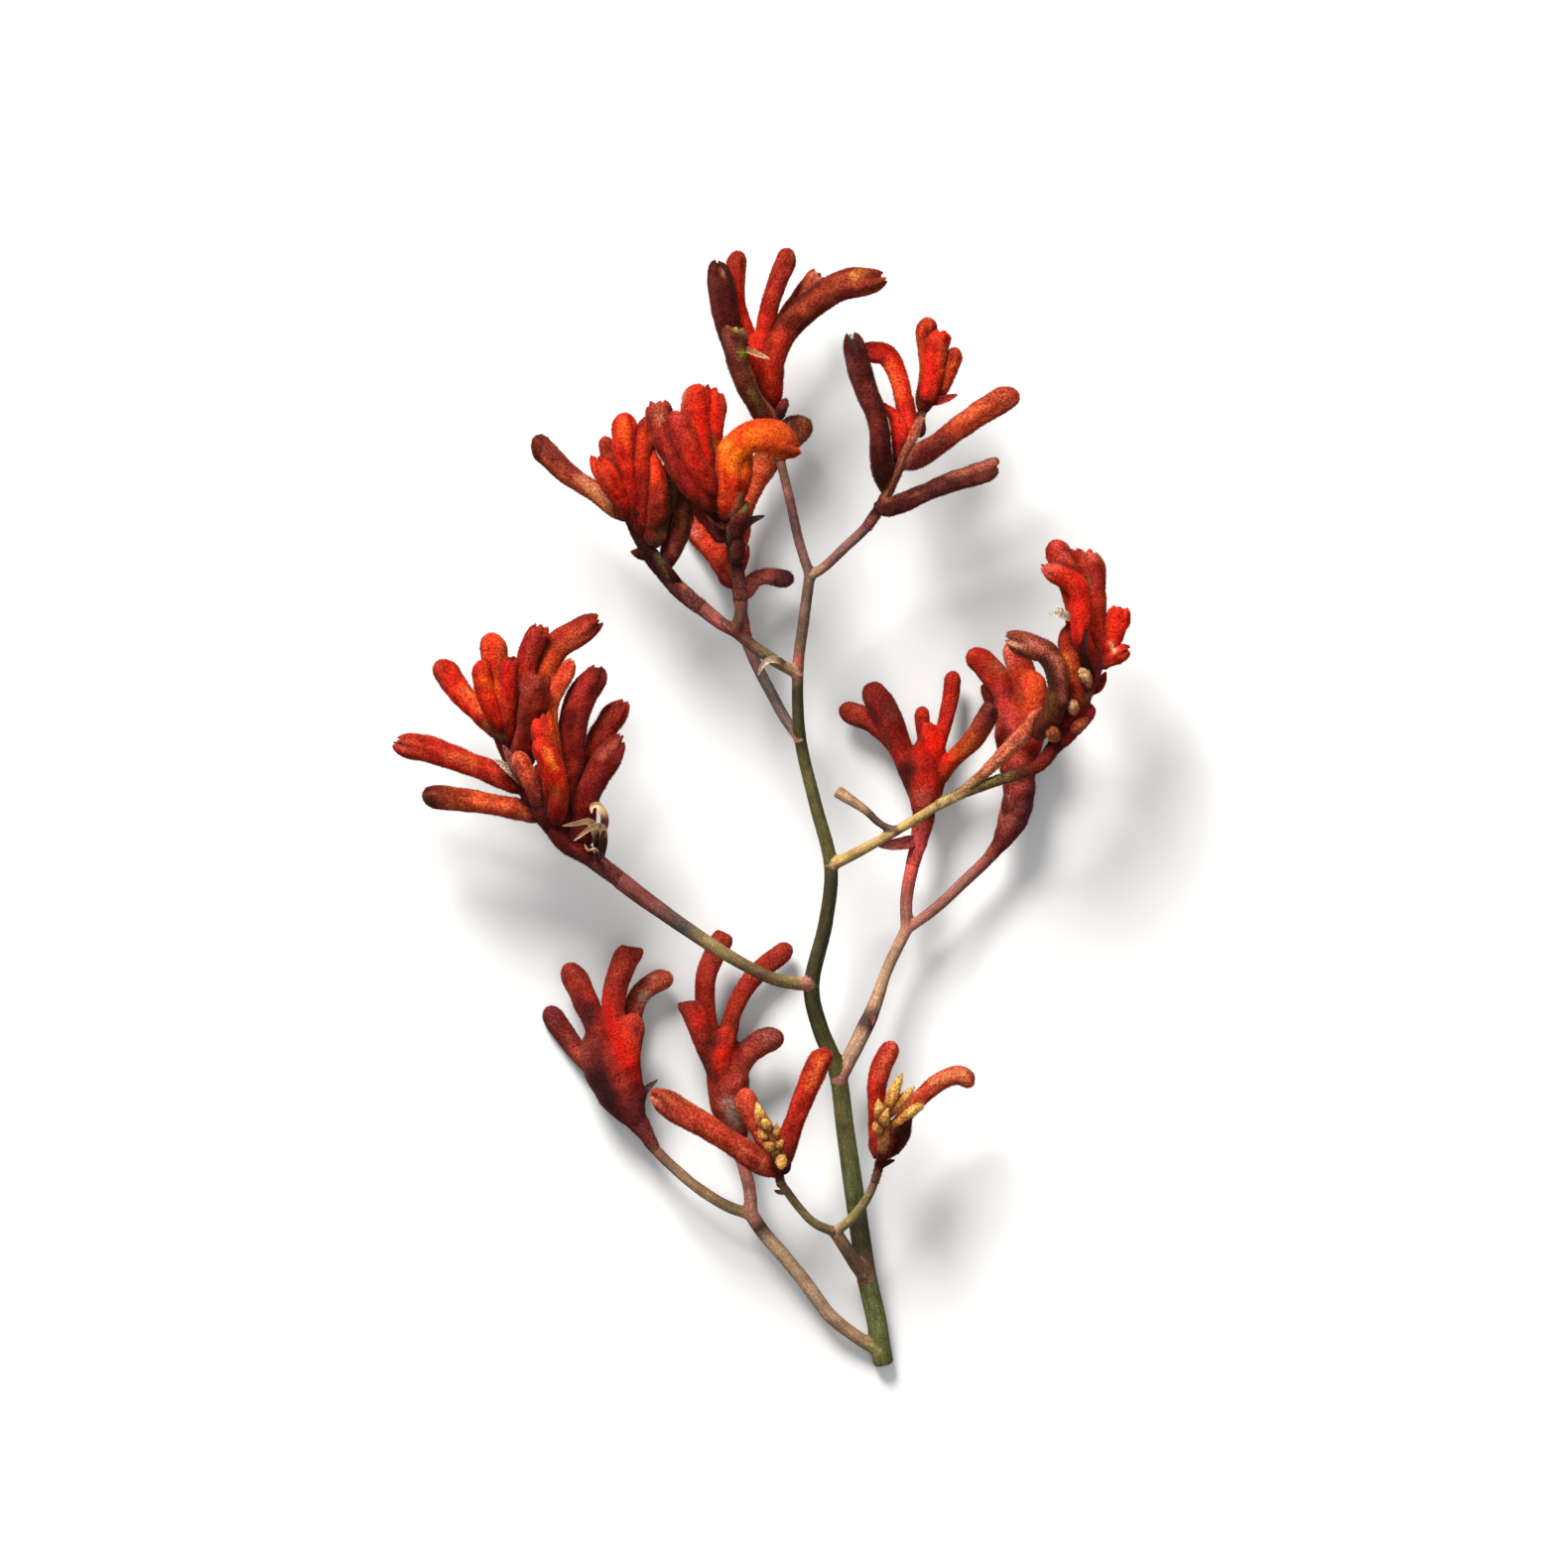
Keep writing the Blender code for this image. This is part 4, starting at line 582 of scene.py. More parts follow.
HEADS["low_right_head"] = {
    "slot": "bright_felt", "foot": "bark", "tone": "crimson", "webbed": False,
    "axis": ([(882, 1190, 29), (886, 1175, 30.5), (888, 1165, 34), (889, 1158, 37.5)], (2.8, 2.8)),
    "flowers": [
        ("round", 6.4, "red", [(886, 1168, 31), (884, 1124, 31), (885, 1086, 32), (900, 1050, 32)]),
        ("round", 5.8, "copper", [(886, 1170, 31), (915, 1121, 30), (945, 1092, 31), (967, 1084, 30),
            (981, 1093, 29)]),
        ("pear", 8.6, "dark", [(885, 1167, 30), (901, 1149, 29), (918, 1125, 29)]),
    ],
    "bracts": [
        (2.4, "dark", [(884, 1177, 30), (893, 1172, 33), (902, 1169, 34)]),
    ],
    "spots": [
        ((214, 84, 60), 2.3, (899, 1056, 34), (889, 1082, 34)),
        ((140, 32, 26), 2.2, (885, 1160, 33), (884, 1128, 33)),
        ((226, 120, 80), 1.6, (970, 1080, 33), (940, 1090, 33)),
        ((58, 16, 16), 2.8, (905, 1140, 32), (916, 1126, 31)),
    ],
}
HEADS["right_back_head"] = {
    "slot": "maroon_felt", "foot": "rose", "tone": "blush", "webbed": True,
    "axis": ([(920, 872, 15.5), (926, 850, 15), (931, 825, 15), (932, 800, 15), (933, 782, 15)],
        (4.6, 6, 8, 8)),
    "flowers": [
        ("round", 7.2, "muted", [(931, 812, 15), (907, 756, 12), (879, 727, 10), (845, 715, 9)]),
        ("round", 8.6, "crimson", [(932, 804, 15), (909, 756, 17), (893, 716, 18), (871, 691, 18)]),
        ("round", 5, "red", [(933, 786, 15), (932, 756, 14), (931, 735, 14), (928, 711, 14)]),
        ("round", 5.4, "red", [(933, 786, 15), (948, 745, 12), (957, 711, 10), (962, 675, 9)]),
        ("mouth", 6.7, "dusk", [(932, 801, 15), (957, 769, 20), (982, 744, 25), (1001, 711, 28)]),
        ("palm", 12.5, "scarlet", [(930, 828, 15), (933, 796, 16), (936, 764, 17), (938, 730, 17)]),
        ("mouth", 7.6, "scarlet", [(932, 798, 15), (939, 772, 19), (941, 750, 20), (941, 731, 19)]),
    ],
    "bracts": [
        (4.4, "wine", [(925, 846, 16), (909, 850, 20), (885, 853, 21)]),
    ],
    "spots": [
        ((222, 20, 6), 4.6, (943, 748, 22)), ((214, 34, 12), 3.2, (955, 766, 21)),
        ((196, 42, 28), 3.2, (907, 762, 16)), ((64, 18, 20), 3.8, (916, 776, 19)),
        ((96, 36, 24), 3, (901, 716, 22)), ((104, 36, 36), 2.8, (872, 736, 10)),
        ((190, 78, 62), 3.6, (930, 804, 20)), ((190, 66, 70), 3.6, (921, 850, 18)),
        ((194, 72, 66), 4.2, (920, 868, 17)),
    ],
}
HEADS["right_middle_head"] = {
    "slot": "maroon_felt", "foot": "rosewood", "tone": "blush", "webbed": True,
    "axis": ([(997, 865, 12.5), (1013, 841, 12.5), (1023, 815, 12.5), (1029, 786, 12), (1032, 764, 12)],
        (4.2, 6.4, 9)),
    "flowers": [
        ("round", 8.6, "red", [(1028, 788, 12), (1024, 742, 14), (1012, 694, 15), (979, 653, 15)]),
        ("round", 8.2, "red", [(1031, 776, 12), (1037, 730, 18), (1035, 690, 20), (1018, 645, 19)]),
        ("mouth", 8.4, "muted", [(1029, 792, 12), (1025, 752, 6), (1013, 717, 3.9), (999, 686, 3.9)]),
        ("round", 8.4, "red", [(1032, 768, 12), (1043, 737, 21), (1044, 706, 24), (1040, 675, 24)]),
        ("palm", 14, "blush", [(1024, 812, 13), (1027, 772, 14), (1023, 728, 15), (1014, 686, 15)]),
        ("palm", 10.4, "wine", [(1006, 857, 12), (1021, 827, 13), (1030, 794, 14), (1033, 762, 14)]),
    ],
    "bracts": [
        (3.2, "blush", [(1018, 828, 14), (1014, 808, 21), (1019, 792, 23)]),
    ],
    "spots": [
        ((190, 50, 48), 2.4, (1006, 696, 19), (1024, 730, 19)),
        ((232, 78, 34), 4.4, (1041, 690, 27), (1036, 716, 27)), ((122, 48, 58), 3.4, (999, 718, 8)),
        ((140, 56, 34), 3, (1006, 672, 18)), ((150, 52, 44), 4, (1026, 792, 20)),
        ((214, 96, 72), 2.4, (1010, 650, 22), (1016, 668, 21)),
        ((78, 24, 34), 3.2, (1040, 806, 17), (1032, 840, 17)), ((166, 78, 64), 3.2, (1013, 820, 17)),
    ],
}
HEADS["right_head"] = {
    "slot": "rust_felt", "foot": "straw", "tone": "crimson", "webbed": False,
    "axis": ([(946, 811, 42), (968, 800, 43), (1000, 788, 44), (1025, 780, 44.5), (1049, 769, 45),
        (1066, 745, 46), (1081, 722, 46), (1095, 697, 46), (1105, 672, 45), (1106, 656, 44)],
        (3.3, 3.4, 4.6, 4.4, 3.6)),
    "flowers": [
        ("beak", 7.6, "crust", [(1044, 742, 47), (1061, 716, 54), (1065, 687, 58), (1054, 659, 58),
            (1016, 647, 55)]),
        ("horn", 7, "twig", [(966, 800, 43), (988, 782, 45), (1015, 756, 46), (1054, 716, 48)]),
        ("knob", 4.4, "gold", [(1065, 745, 47), (1061, 741, 52), (1058, 733, 56)]),
        ("knob", 4, "pip", [(1082, 719, 48), (1081, 714, 53), (1078, 706, 56)]),
        ("knob", 4, "pip", [(1096, 693, 49), (1094, 685, 53), (1089, 674, 56)]),
        ("knob", 4.4, "gold", [(1076, 740, 46), (1084, 733, 50), (1094, 724, 52)]),
        ("palm", 9.6, "crimson", [(1060, 758, 45), (1074, 730, 46), (1086, 700, 47), (1096, 668, 47)]),
        ("round", 8.4, "rust", [(1083, 722, 46), (1082, 698, 50), (1081, 668, 51), (1077, 629, 50)]),
        ("round", 6.2, "rust", [(1064, 749, 46), (1078, 737, 47), (1090, 723, 46), (1098, 709, 45)]),
        ("mouth", 10.4, "red", [(1106, 670, 45), (1101, 632, 44), (1098, 594, 43), (1096, 557, 43)]),
        ("round", 8, "red", [(1104, 674, 46), (1087, 646, 51), (1081, 598, 53), (1060, 546, 51)]),
        ("beak", 7, "scarlet", [(1102, 678, 46), (1088, 640, 55), (1086, 595, 57), (1054, 573, 56)]),
        ("mouth", 7.4, "scarlet", [(1107, 666, 45), (1117, 652, 46), (1123, 634, 47), (1129, 615, 47)]),
        ("beak", 5.6, "red", [(1107, 668, 45), (1118, 664, 48), (1136, 657, 49)]),
    ],
    "bracts": [
        (3.6, "dark", [(1100, 684, 48), (1091, 662, 58), (1094, 633, 61)]),
        (3.6, "rust", [(1097, 699, 45), (1107, 691, 44), (1114, 677, 43)]),
        (2.6, "paper", [(1084, 626, 55), (1070, 620, 57), (1056, 619, 56)]),
        (1.8, "paper", [(1082, 628, 55), (1070, 616, 57.5), (1062, 611, 57)]),
    ],
    "spots": [
        ((196, 96, 80), 1.3, (1036, 646, 60), (1066, 668, 61)),
        ((196, 96, 80), 1.3, (1067, 668, 61), (1070, 704, 58)),
        ((224, 178, 140), 0.6, (1018, 648, 58), (1030, 652, 60)),
        ((62, 28, 16), 1.8, (1052, 664, 61), (1058, 690, 60)),
        ((106, 66, 30), 1.8, (1059, 702, 58), (1056, 722, 54)), ((176, 128, 82), 1.3, (1058, 736, 51)),
        ((222, 34, 16), 2.8, (1084, 612, 59), (1090, 640, 57)),
        ((216, 92, 76), 2.2, (1060, 572, 58), (1052, 576, 57)),
        ((206, 84, 70), 1.8, (1072, 562, 54), (1064, 552, 52)),
        ((164, 34, 34), 2.8, (1102, 574, 47), (1104, 610, 48)),
        ((128, 78, 40), 1.5, (1096, 584, 49), (1098, 630, 49)),
        ((208, 92, 76), 1.8, (1106, 560, 46), (1096, 560, 46)),
        ((238, 40, 14), 3.2, (1128, 622, 50), (1120, 648, 50)),
        ((246, 206, 160), 0.8, (1119, 648, 51), (1122, 656, 50)),
        ((214, 98, 38), 2.4, (1072, 664, 54), (1075, 680, 54)),
        ((142, 24, 28), 3, (1098, 712, 48), (1084, 734, 48)),
        ((120, 32, 26), 2.8, (1060, 762, 47), (1046, 772, 46)),
        ((158, 44, 40), 2.4, (1104, 664, 48), (1108, 690, 46)),
        ((190, 52, 28), 2.2, (1106, 600, 48), (1110, 640, 48)),
        ((206, 168, 112), 1.2, (1096, 706, 52), (1104, 700, 50)),
        ((206, 46, 26), 2.2, (1098, 600, 48), (1103, 634, 48)),
        ((150, 40, 26), 1.8, (1104, 650, 50), (1100, 672, 52)),
        ((188, 158, 104), 3, (948, 810, 43), (964, 803, 44)),
        ((100, 80, 46), 2.4, (984, 794, 45), (1014, 785, 46)),
        ((170, 116, 84), 1.4, (968, 797, 45), (980, 788, 46)),
    ],
}

# The golden buds at the tip of two heads: their axis and its girths, and each bud's girth and route.
YOUNG_BUDS = {}
YOUNG_BUDS["low_left_buds"] = {
    "axis": ([(784, 1167, 40.5), (782, 1160, 43.5), (779, 1150, 45), (774, 1136, 46)], (3.4, 3.4)),
    "buds": [
        (4.4, [(777, 1144, 44), (769, 1129, 46), (761, 1111, 46)]),
        (3.7, [(779, 1148, 44), (781, 1140, 46), (782, 1131, 46)]),
        (3.6, [(778, 1146, 44), (771, 1144, 46), (764, 1139, 46)]),
        (4.4, [(780, 1155, 43), (775, 1153, 46), (769, 1151, 47)]),
        (3.6, [(781, 1154, 43), (785, 1152, 46), (788, 1147, 46)]),
        (3.9, [(783, 1158, 41), (787, 1167, 44), (788, 1178, 45)]),
        (3.5, [(776, 1141, 45), (773, 1133, 48), (770, 1126, 49)]),
    ],
}
YOUNG_BUDS["low_right_buds"] = {
    "axis": ([(889, 1158, 37.5), (890, 1151, 39.5), (891, 1138, 41), (893, 1122, 42)], (3.4, 3.4)),
    "buds": [
        (4.4, [(892, 1126, 41), (899, 1105, 42), (909, 1081, 42)]),
        (4.8, [(891, 1131, 40), (887, 1118, 44), (886, 1107, 45)]),
        (3.6, [(890, 1140, 39), (909, 1126, 40), (930, 1112, 40)]),
        (4, [(892, 1128, 41), (905, 1112, 41), (922, 1095, 40)]),
        (4, [(890, 1135, 40), (891, 1126, 45), (896, 1116, 46)]),
        (3.4, [(890, 1140, 39), (885, 1137, 43), (882, 1130, 44)]),
    ],
}

# The dry bracts: width in millimetres and route.
DRY_BRACTS = [
    (3.6, [(603, 866, 50.3), (604, 862, 56), (602, 838, 64), (595, 827, 66), (582, 829, 66.5),
        (568, 832, 66)]),
    (3, [(605, 864, 51.2), (607, 858, 57), (609, 840, 65), (606, 831, 67.5), (595, 834, 68),
        (579, 847, 67)]),
    (2.8, [(602, 844, 64), (608, 836, 66), (610, 823, 67), (605, 812, 67), (598, 812, 66.5),
        (597, 820, 66)]),
    (2.2, [(601, 865, 51.3), (602, 861, 57), (600, 855, 62), (594, 856, 64), (590, 850, 64)]),
]

# The stalk's skin along each branch: the share of its length, and the colour there.
STALK_SKINS = {
    "stem": [(0, "olive"), (0.05, "green"), (0.1, "green"), (0.125, "bark"), (0.155, "fern"),
        (0.18, "fern"), (0.23, "green"), (0.31, "moss"), (0.37, "olive"), (0.45, "fern"), (0.62, "fern"),
        (0.66, "olive"), (0.76, "olive"), (0.79, "fern"), (0.86, "fern"), (0.88, "bark"),
        (0.895, "rosewood"), (0.91, "clay"), (1, "clay")],
    "crown_branch": [(0, "clay"), (0.2, "heather"), (0.5, "heather"), (0.7, "mauve"), (0.9, "bark"),
        (1, "plum")],
    "upper_right_branch": [(0, "tan"), (0.3, "heather"), (0.85, "heather"), (1, "plum")],
    "upper_left_trunk": [(0, "pink"), (0.1, "tan"), (0.35, "moss"), (0.7, "bark"), (1, "maroon")],
    "upper_left_branch": [(0, "maroon"), (0.3, "rosewood"), (1, "plum")],
    "upper_middle_branch": [(0, "maroon"), (0.5, "bark"), (1, "plum")],
    "upper_back_twig": [(0, "pink"), (0.12, "ash"), (0.6, "ash"), (1, "plum")],
    "left_branch": [(0, "bark"), (0.05, "pink"), (0.1, "straw"), (0.25, "bark"), (0.42, "straw"),
        (0.55, "straw"), (0.66, "ash"), (0.85, "plum"), (1, "plum")],
    "right_branch": [(0, "tan"), (0.12, "sand"), (1, "sand")],
    "right_twig": [(0, "mauve"), (0.14, "wheat"), (0.3, "wheat"), (0.36, "night"), (0.42, "night"),
        (0.5, "wheat"), (0.88, "wheat"), (1, "pink")],
    "right_back_branch": [(0, "pink"), (0.3, "mauve"), (0.8, "rose"), (1, "rose")],
    "right_middle_branch": [(0, "pink"), (0.3, "mauve"), (0.75, "mauve"), (0.9, "rosewood"), (1, "plum")],
    "low_front_trunk": [(0, "tan"), (0.5, "bark"), (1, "tan")],
    "low_left_branch": [(0, "bark"), (0.4, "straw"), (1, "bark")],
    "low_right_branch": [(0, "tan"), (0.4, "moss"), (1, "bark")],
    "lower_twig": [(0, "moss"), (0.15, "tan"), (0.35, "peel"), (0.84, "peel"), (0.92, "night"),
        (1, "pink")],
    "lower_left_branch": [(0, "pink"), (0.15, "straw"), (0.4, "tan"), (0.75, "tan"), (0.9, "bark"),
        (1, "plum")],
    "lower_middle_branch": [(0, "pink"), (0.5, "mauve"), (1, "rosewood")],
    "stunted_twig": [(0, "bark"), (0.3, "night"), (0.45, "night"), (0.6, "tan"), (1, "tan")],
}


def linear(colour):
    """The linear values of a colour that is given as it shows on a screen, from 0 to 255."""
    shown = np.asarray(colour, float) / 255
    return np.where(shown <= 0.04045, shown / 12.92, ((shown + 0.055) / 1.055) ** 2.4)


def strong(colour):
    """A felt colour, as strong as it looks on the plant."""
    return linear(colour) * FELT_DEPTH


def ramp(values, low, high):
    """From 0 at low to 1 at high, eased at both ends."""
    t = np.clip((values - low) / (high - low), 0, 1)
    return t * t * (3 - 2 * t)


def place(point):
    """The point in metres of a place given as photograph pixels and a height in millimetres."""
    x, y, height = point
    return np.array(((x - ORIGIN_PIXEL[0]) * PIXEL, (ORIGIN_PIXEL[1] - y) * PIXEL, height * MM))


def unit(vectors):
    """The vectors, each with a length of one."""
    return vectors / np.maximum(np.linalg.norm(vectors, axis=-1, keepdims=True), 1e-12)


def axes(table):
    """The routes of the axes in a table of heads or buds."""
    return [entry["axis"][0] for entry in table.values()]


def point_before(spot, routes):
    """The last point but one of the route that ends at the spot."""
    return next(route[-2] for route in routes if route[-1] == spot)


def point_after(spot, routes):
    """The second point of the route that starts at the spot, where there is one."""
    return next((route[1] for route in routes if route[0] == spot), None)


def curve_through(points, before=None, after=None, steps=24):
    """A smooth line through the points: a Catmull-Rom curve that heads on from the point before
    and to the point after, or straight on where there is none."""
    first = 2 * points[0] - points[1] if before is None else before
    last = 2 * points[-1] - points[-2] if after is None else after
    ends = [first, *points, last]
    line = []
    for a, b, c, d in zip(ends, ends[1:], ends[2:], ends[3:]):
        for step in range(steps):
            t = step / steps
            line.append(0.5 * (2 * b + (c - a) * t + (2 * a - 5 * b + 4 * c - d) * t**2
                               + (3 * b - a - 3 * c + d) * t**3))
    return np.array(line + [points[-1]])


class Track:
    """A smooth route, with a frame at any share of its length: centre, ahead, normal and side."""

    def __init__(self, route, before=None, after=None):
        points = [place(p) for p in route]
        ends = [None if p is None else place(p) for p in (before, after)]
        self.line = curve_through(points, *ends)
        self.at = np.concatenate(([0], np.cumsum(np.linalg.norm(np.diff(self.line, axis=0), axis=1))))
        self.length = self.at[-1]
        self.ways = unit(np.gradient(self.line, axis=0))

    def frames(self, shares):
        goal = np.asarray(shares) * self.length
        centre = np.stack([np.interp(goal, self.at, self.line[:, k]) for k in range(3)], 1)
        ahead = unit(np.stack([np.interp(goal, self.at, self.ways[:, k]) for k in range(3)], 1))
        beyond = goal - np.clip(goal, 0, self.length)
        centre = centre + ahead * beyond[:, None]
        normals, normal = [], UP
        for way in ahead:
            normal = unit(normal - normal.dot(way) * way)
            normals.append(normal)
        normals = np.array(normals)
        return centre, ahead, normals, np.cross(ahead, normals)


def circle(sides):
    """The angles of the sides of a tube."""
    return np.arange(sides) * 2 * np.pi / sides


def spokes(side, normal, angles):
    """The ways out from the middle, for each ring of a tube and each angle."""
    return side[:, None] * np.cos(angles)[None, :, None] + normal[:, None] * np.sin(angles)[None, :, None]


def lumps(rng, shares, angles, size):
    """Gentle unevenness round and along a tube: some long waves, laid over each other."""
    waves = 5
    found = np.zeros((len(shares), len(angles)))
    for _ in range(waves):
        along, around = rng.uniform(1.5, 7), rng.integers(0, 4)
        found += np.sin(along * 2 * np.pi * shares[:, None] + around * angles[None, :] + rng.uniform(0, 6.3))
    return 1 + size * found / waves


def streaks(rng, shares, angles):
    """Uneven streaks along a tube, between about -1 and 1."""
    found = np.zeros((len(shares), len(angles)))
    for around in range(3, 9):
        along, size = rng.uniform(0.3, 2.4), rng.uniform(0.5, 1.0)
        wave = np.sin(along * 2 * np.pi * shares + rng.uniform(0, 6.3))
        found += size * np.sin(around * angles[None, :] + 1.6 * wave[:, None] + rng.uniform(0, 6.3))
    return found / 2.2


def fan(middle, first, second, tip, rim):
    """The bake map of the triangles that close one end of a tube."""
    flat = np.zeros_like(middle)
    return np.stack([middle, flat + tip, first, flat + rim, second, flat + rim], 1).reshape(-1, 3, 2)


class Piece:
    """Gathers the skins and hairs of one piece, then makes its mesh."""

    def __init__(self, name):
        self.name = name
        self.skins = []
        self.hairs = []

    def skin(self, grid, tint, flow):
        """A closed tube through rings of points. Its two ends close on their middles."""
        self.skins.append((grid, tint, flow))

    def felt(self, grid, tint, hair, nap, rng, light=1.0):
        """Short hairs all over a grid of points: a thin blade each, most of them lying forward."""
        low, high = grid[:-1], grid[1:]
        turn = np.roll(np.arange(grid.shape[1]), -1)
        across, along = low[:, turn] - low, high - low
        normal = np.cross(along, across)
        area = np.linalg.norm(normal, axis=2)
        count = int(area.sum() / MM**2 * nap[0])
        odds = np.cumsum(area.ravel())
        cell = np.searchsorted(odds, rng.uniform(0, odds[-1], count))
        r, k = np.unravel_index(np.minimum(cell, area.size - 1), area.shape)
        u, v = rng.uniform(0, 1, (2, count, 1))
        corners = [(low, k, (1 - u) * (1 - v)), (low, turn[k], u * (1 - v)),
                   (high, k, (1 - u) * v), (high, turn[k], u * v)]
        root = sum(points[r, column] * part for points, column, part in corners)
        # light holds the painted crevice shade of the grid, which darkens the hair tips too.
        light = np.broadcast_to(light, tint.shape)[r, k]
        self.blades(root, unit(normal[r, k]), unit(along[r, k]), tint[r, k], hair * light, nap, rng)

    def blades(self, root, out, forward, tint, hair, nap, rng):
        """One blade at each root, with the skin's colour at its foot and the hair's at its tip."""
        _, long, wide = nap
        count = len(root)
        side = np.cross(out, forward)
        heading = rng.normal(0, HEADING_SPREAD, (count, 1))
        lying = forward * np.cos(heading) + side * np.sin(heading)
        lean = np.where(rng.uniform(size=(count, 1)) < LYING_SHARE, rng.uniform(*LYING_LEAN, (count, 1)),
                        rng.uniform(*STANDING_LEAN, (count, 1)))
        way = out * np.cos(lean) + lying * np.sin(lean)
        edge = unit(np.cross(way, out + 0.3 * side))
        length = long * rng.uniform(0.65, 1.15, (count, 1))
        width = wide * rng.uniform(0.8, 1.3, (count, 1))
        foot = root - out * SKIN_DEPTH * MM
        blades = np.stack([foot - edge * width / 2, foot + edge * width / 2, foot + way * length], 1)
        tips = (0.35 * hair + 0.95 * tint) * rng.uniform(0.6, 1.25, (count, 1))
        self.hairs.append((blades, np.stack([tint * 0.85, tint * 0.85, tips], 1)))

    def shape(self):
        """The points, colours, flow, faces and bake map of all that was gathered."""
        points, tints, flows, faces, spots = [], [], [], [], []
        start = 0
        columns = max(1, math.ceil(math.sqrt(len(self.skins) / 2)))
        rows = max(1, math.ceil(len(self.skins) / columns))
        wide = SKIN_WIDTH if self.hairs else 1.0
        cell = np.array((wide / columns * CELL_FILL, CELL_FILL / rows))
        for i, (grid, tint, flow) in enumerate(self.skins):
            rings, sides = grid.shape[:2]
            points += [grid.reshape(-1, 3), grid[0].mean(0)[None], grid[-1].mean(0)[None]]
            tints += [tint.reshape(-1, 3), tint[0, :1], tint[-1, :1]]
            flows += [flow.reshape(-1, 3), flow[0, :1], flow[-1, :1]]

            r, k = (index.ravel() for index in np.indices((rings - 1, sides)))
            j = (k + 1) % sides
            quads = np.stack([r * sides + k, (r + 1) * sides + k, (r + 1) * sides + j, r * sides + j], 1)
            ring = np.arange(sides)
            after = (ring + 1) % sides
            last = (rings - 1) * sides
            foot = np.stack([np.full(sides, rings * sides), ring, after], 1)
            top = np.stack([np.full(sides, rings * sides + 1), last + after, last + ring], 1)
            faces += [quads + start, foot + start, top + start]
            start += rings * sides + 2

            du, dv = 1 / sides, (1 - 2 * CAP) / (rings - 1)
            u, v = k / sides, CAP + (1 - 2 * CAP) * r / (rings - 1)
            first = ring / sides
            middle, second = first + du / 2, first + du
            maps = (np.stack([u, v, u, v + dv, u + du, v + dv, u + du, v], 1).reshape(-1, 4, 2),
                    fan(middle, first, second, 0, CAP), fan(middle, second, first, 1, 1 - CAP))
            corner = ((i % columns) / columns * wide + CELL_EDGE, (i // columns) / rows + CELL_EDGE)
            spots += [spot * cell + corner for spot in maps]
        if self.hairs:
            blades, colours = (np.concatenate(blocks) for blocks in zip(*self.hairs))
            count = len(blades)
            points.append(blades.reshape(-1, 3))
            tints.append(colours.reshape(-1, 3))
            flows.append(blades.reshape(-1, 3) * FLAT_FLOW)
            faces.append(start + np.arange(count * 3).reshape(-1, 3))
            columns = math.ceil(math.sqrt(count * HAIR_WIDTH))
            cell = np.array((HAIR_WIDTH / columns, 1 / math.ceil(count / columns)))
            i = np.arange(count)
            corner = np.stack([i % columns, i // columns], 1) * cell + (HAIR_LEFT, 0)
            spots.append(corner[:, None, :] + HAIR_CELL[None] * cell)
        return points, tints, flows, faces, spots

    def build(self, material):
        points, tints, flows, faces, spots = self.shape()
        obj = mesh_object(self.name, np.concatenate(points), faces, spots)
        paint(obj.data, np.concatenate(tints), np.concatenate(flows))
        obj.data.materials.append(material)
        return obj


def above_floor(points):
    """The points, with those under the floor lifted to just above it."""
    points = points.copy()
    points[:, 2] = np.maximum(points[:, 2], FLOOR_GAP * MM)
    return points


def linked(name, data):
    """A new object of the scene."""
    obj = bpy.data.objects.new(name, data)
    bpy.context.scene.collection.objects.link(obj)
    return obj


def mesh_object(name, points, faces, spots=None):
    """An object from points and blocks of faces, each block with as many corners a face."""
    mesh = bpy.data.meshes.new(name)
    mesh.vertices.add(len(points))
    mesh.vertices.foreach_set("co", above_floor(points).astype(np.float32).ravel())
    corners = np.concatenate([block.ravel() for block in faces])
    sizes = np.concatenate([np.full(len(block), block.shape[1]) for block in faces])
    mesh.loops.add(len(corners))
    mesh.loops.foreach_set("vertex_index", corners.astype(np.int32))
    mesh.polygons.add(len(sizes))
    mesh.polygons.foreach_set("loop_start", (np.cumsum(sizes) - sizes).astype(np.int32))
    mesh.update(calc_edges=True)
    if spots is not None:
        values = np.concatenate([block.reshape(-1, 2) for block in spots])
        layer = mesh.uv_layers.new(name=BAKE_MAP)
        layer.uv.foreach_set("vector", values.astype(np.float32).ravel())
    mesh.shade_smooth()
    return linked(name, mesh)


def paint(mesh, tints, flows):
    """Stores each point's colour, and its place along and round its stem or flower."""
    colours = np.concatenate([np.clip(tints, 0, 1), np.ones((len(tints), 1))], 1)
    for name, kind, field, values in (("tint", "FLOAT_COLOR", "color", colours),
                                      ("flow", "FLOAT_VECTOR", "vector", flows)):
        data = mesh.attributes.new(name, kind, "POINT").data
        data.foreach_set(field, values.astype(np.float32).ravel())


def flow_of(shares, angles, length, radius, rng):
    """Coordinates that run slowly along a tube and fast round it, so that marks lie lengthwise."""
    turn = np.broadcast_to(angles[None, :], (len(shares), len(angles)))
    along = np.broadcast_to(shares[:, None] * length / MM, turn.shape)
    around = radius / MM
    return np.stack([np.cos(turn) * around, np.sin(turn) * around, along * 0.16], 2) + rng.uniform(0, 90, 3)


def girth_along(form, shares):
    """The girth of a form at these shares of its length, smoothed over its stations."""
    stations, girths = zip(*FORMS[form])
    reach = 12
    fine = np.linspace(-0.1, 1.1, 241)
    kernel = np.exp(-0.5 * (np.arange(-reach, reach + 1) / 5.0) ** 2)
    smooth = np.convolve(np.interp(fine, stations, girths), kernel / kernel.sum(), "same")
    return np.interp(shares, fine[reach:-reach], smooth[reach:-reach])


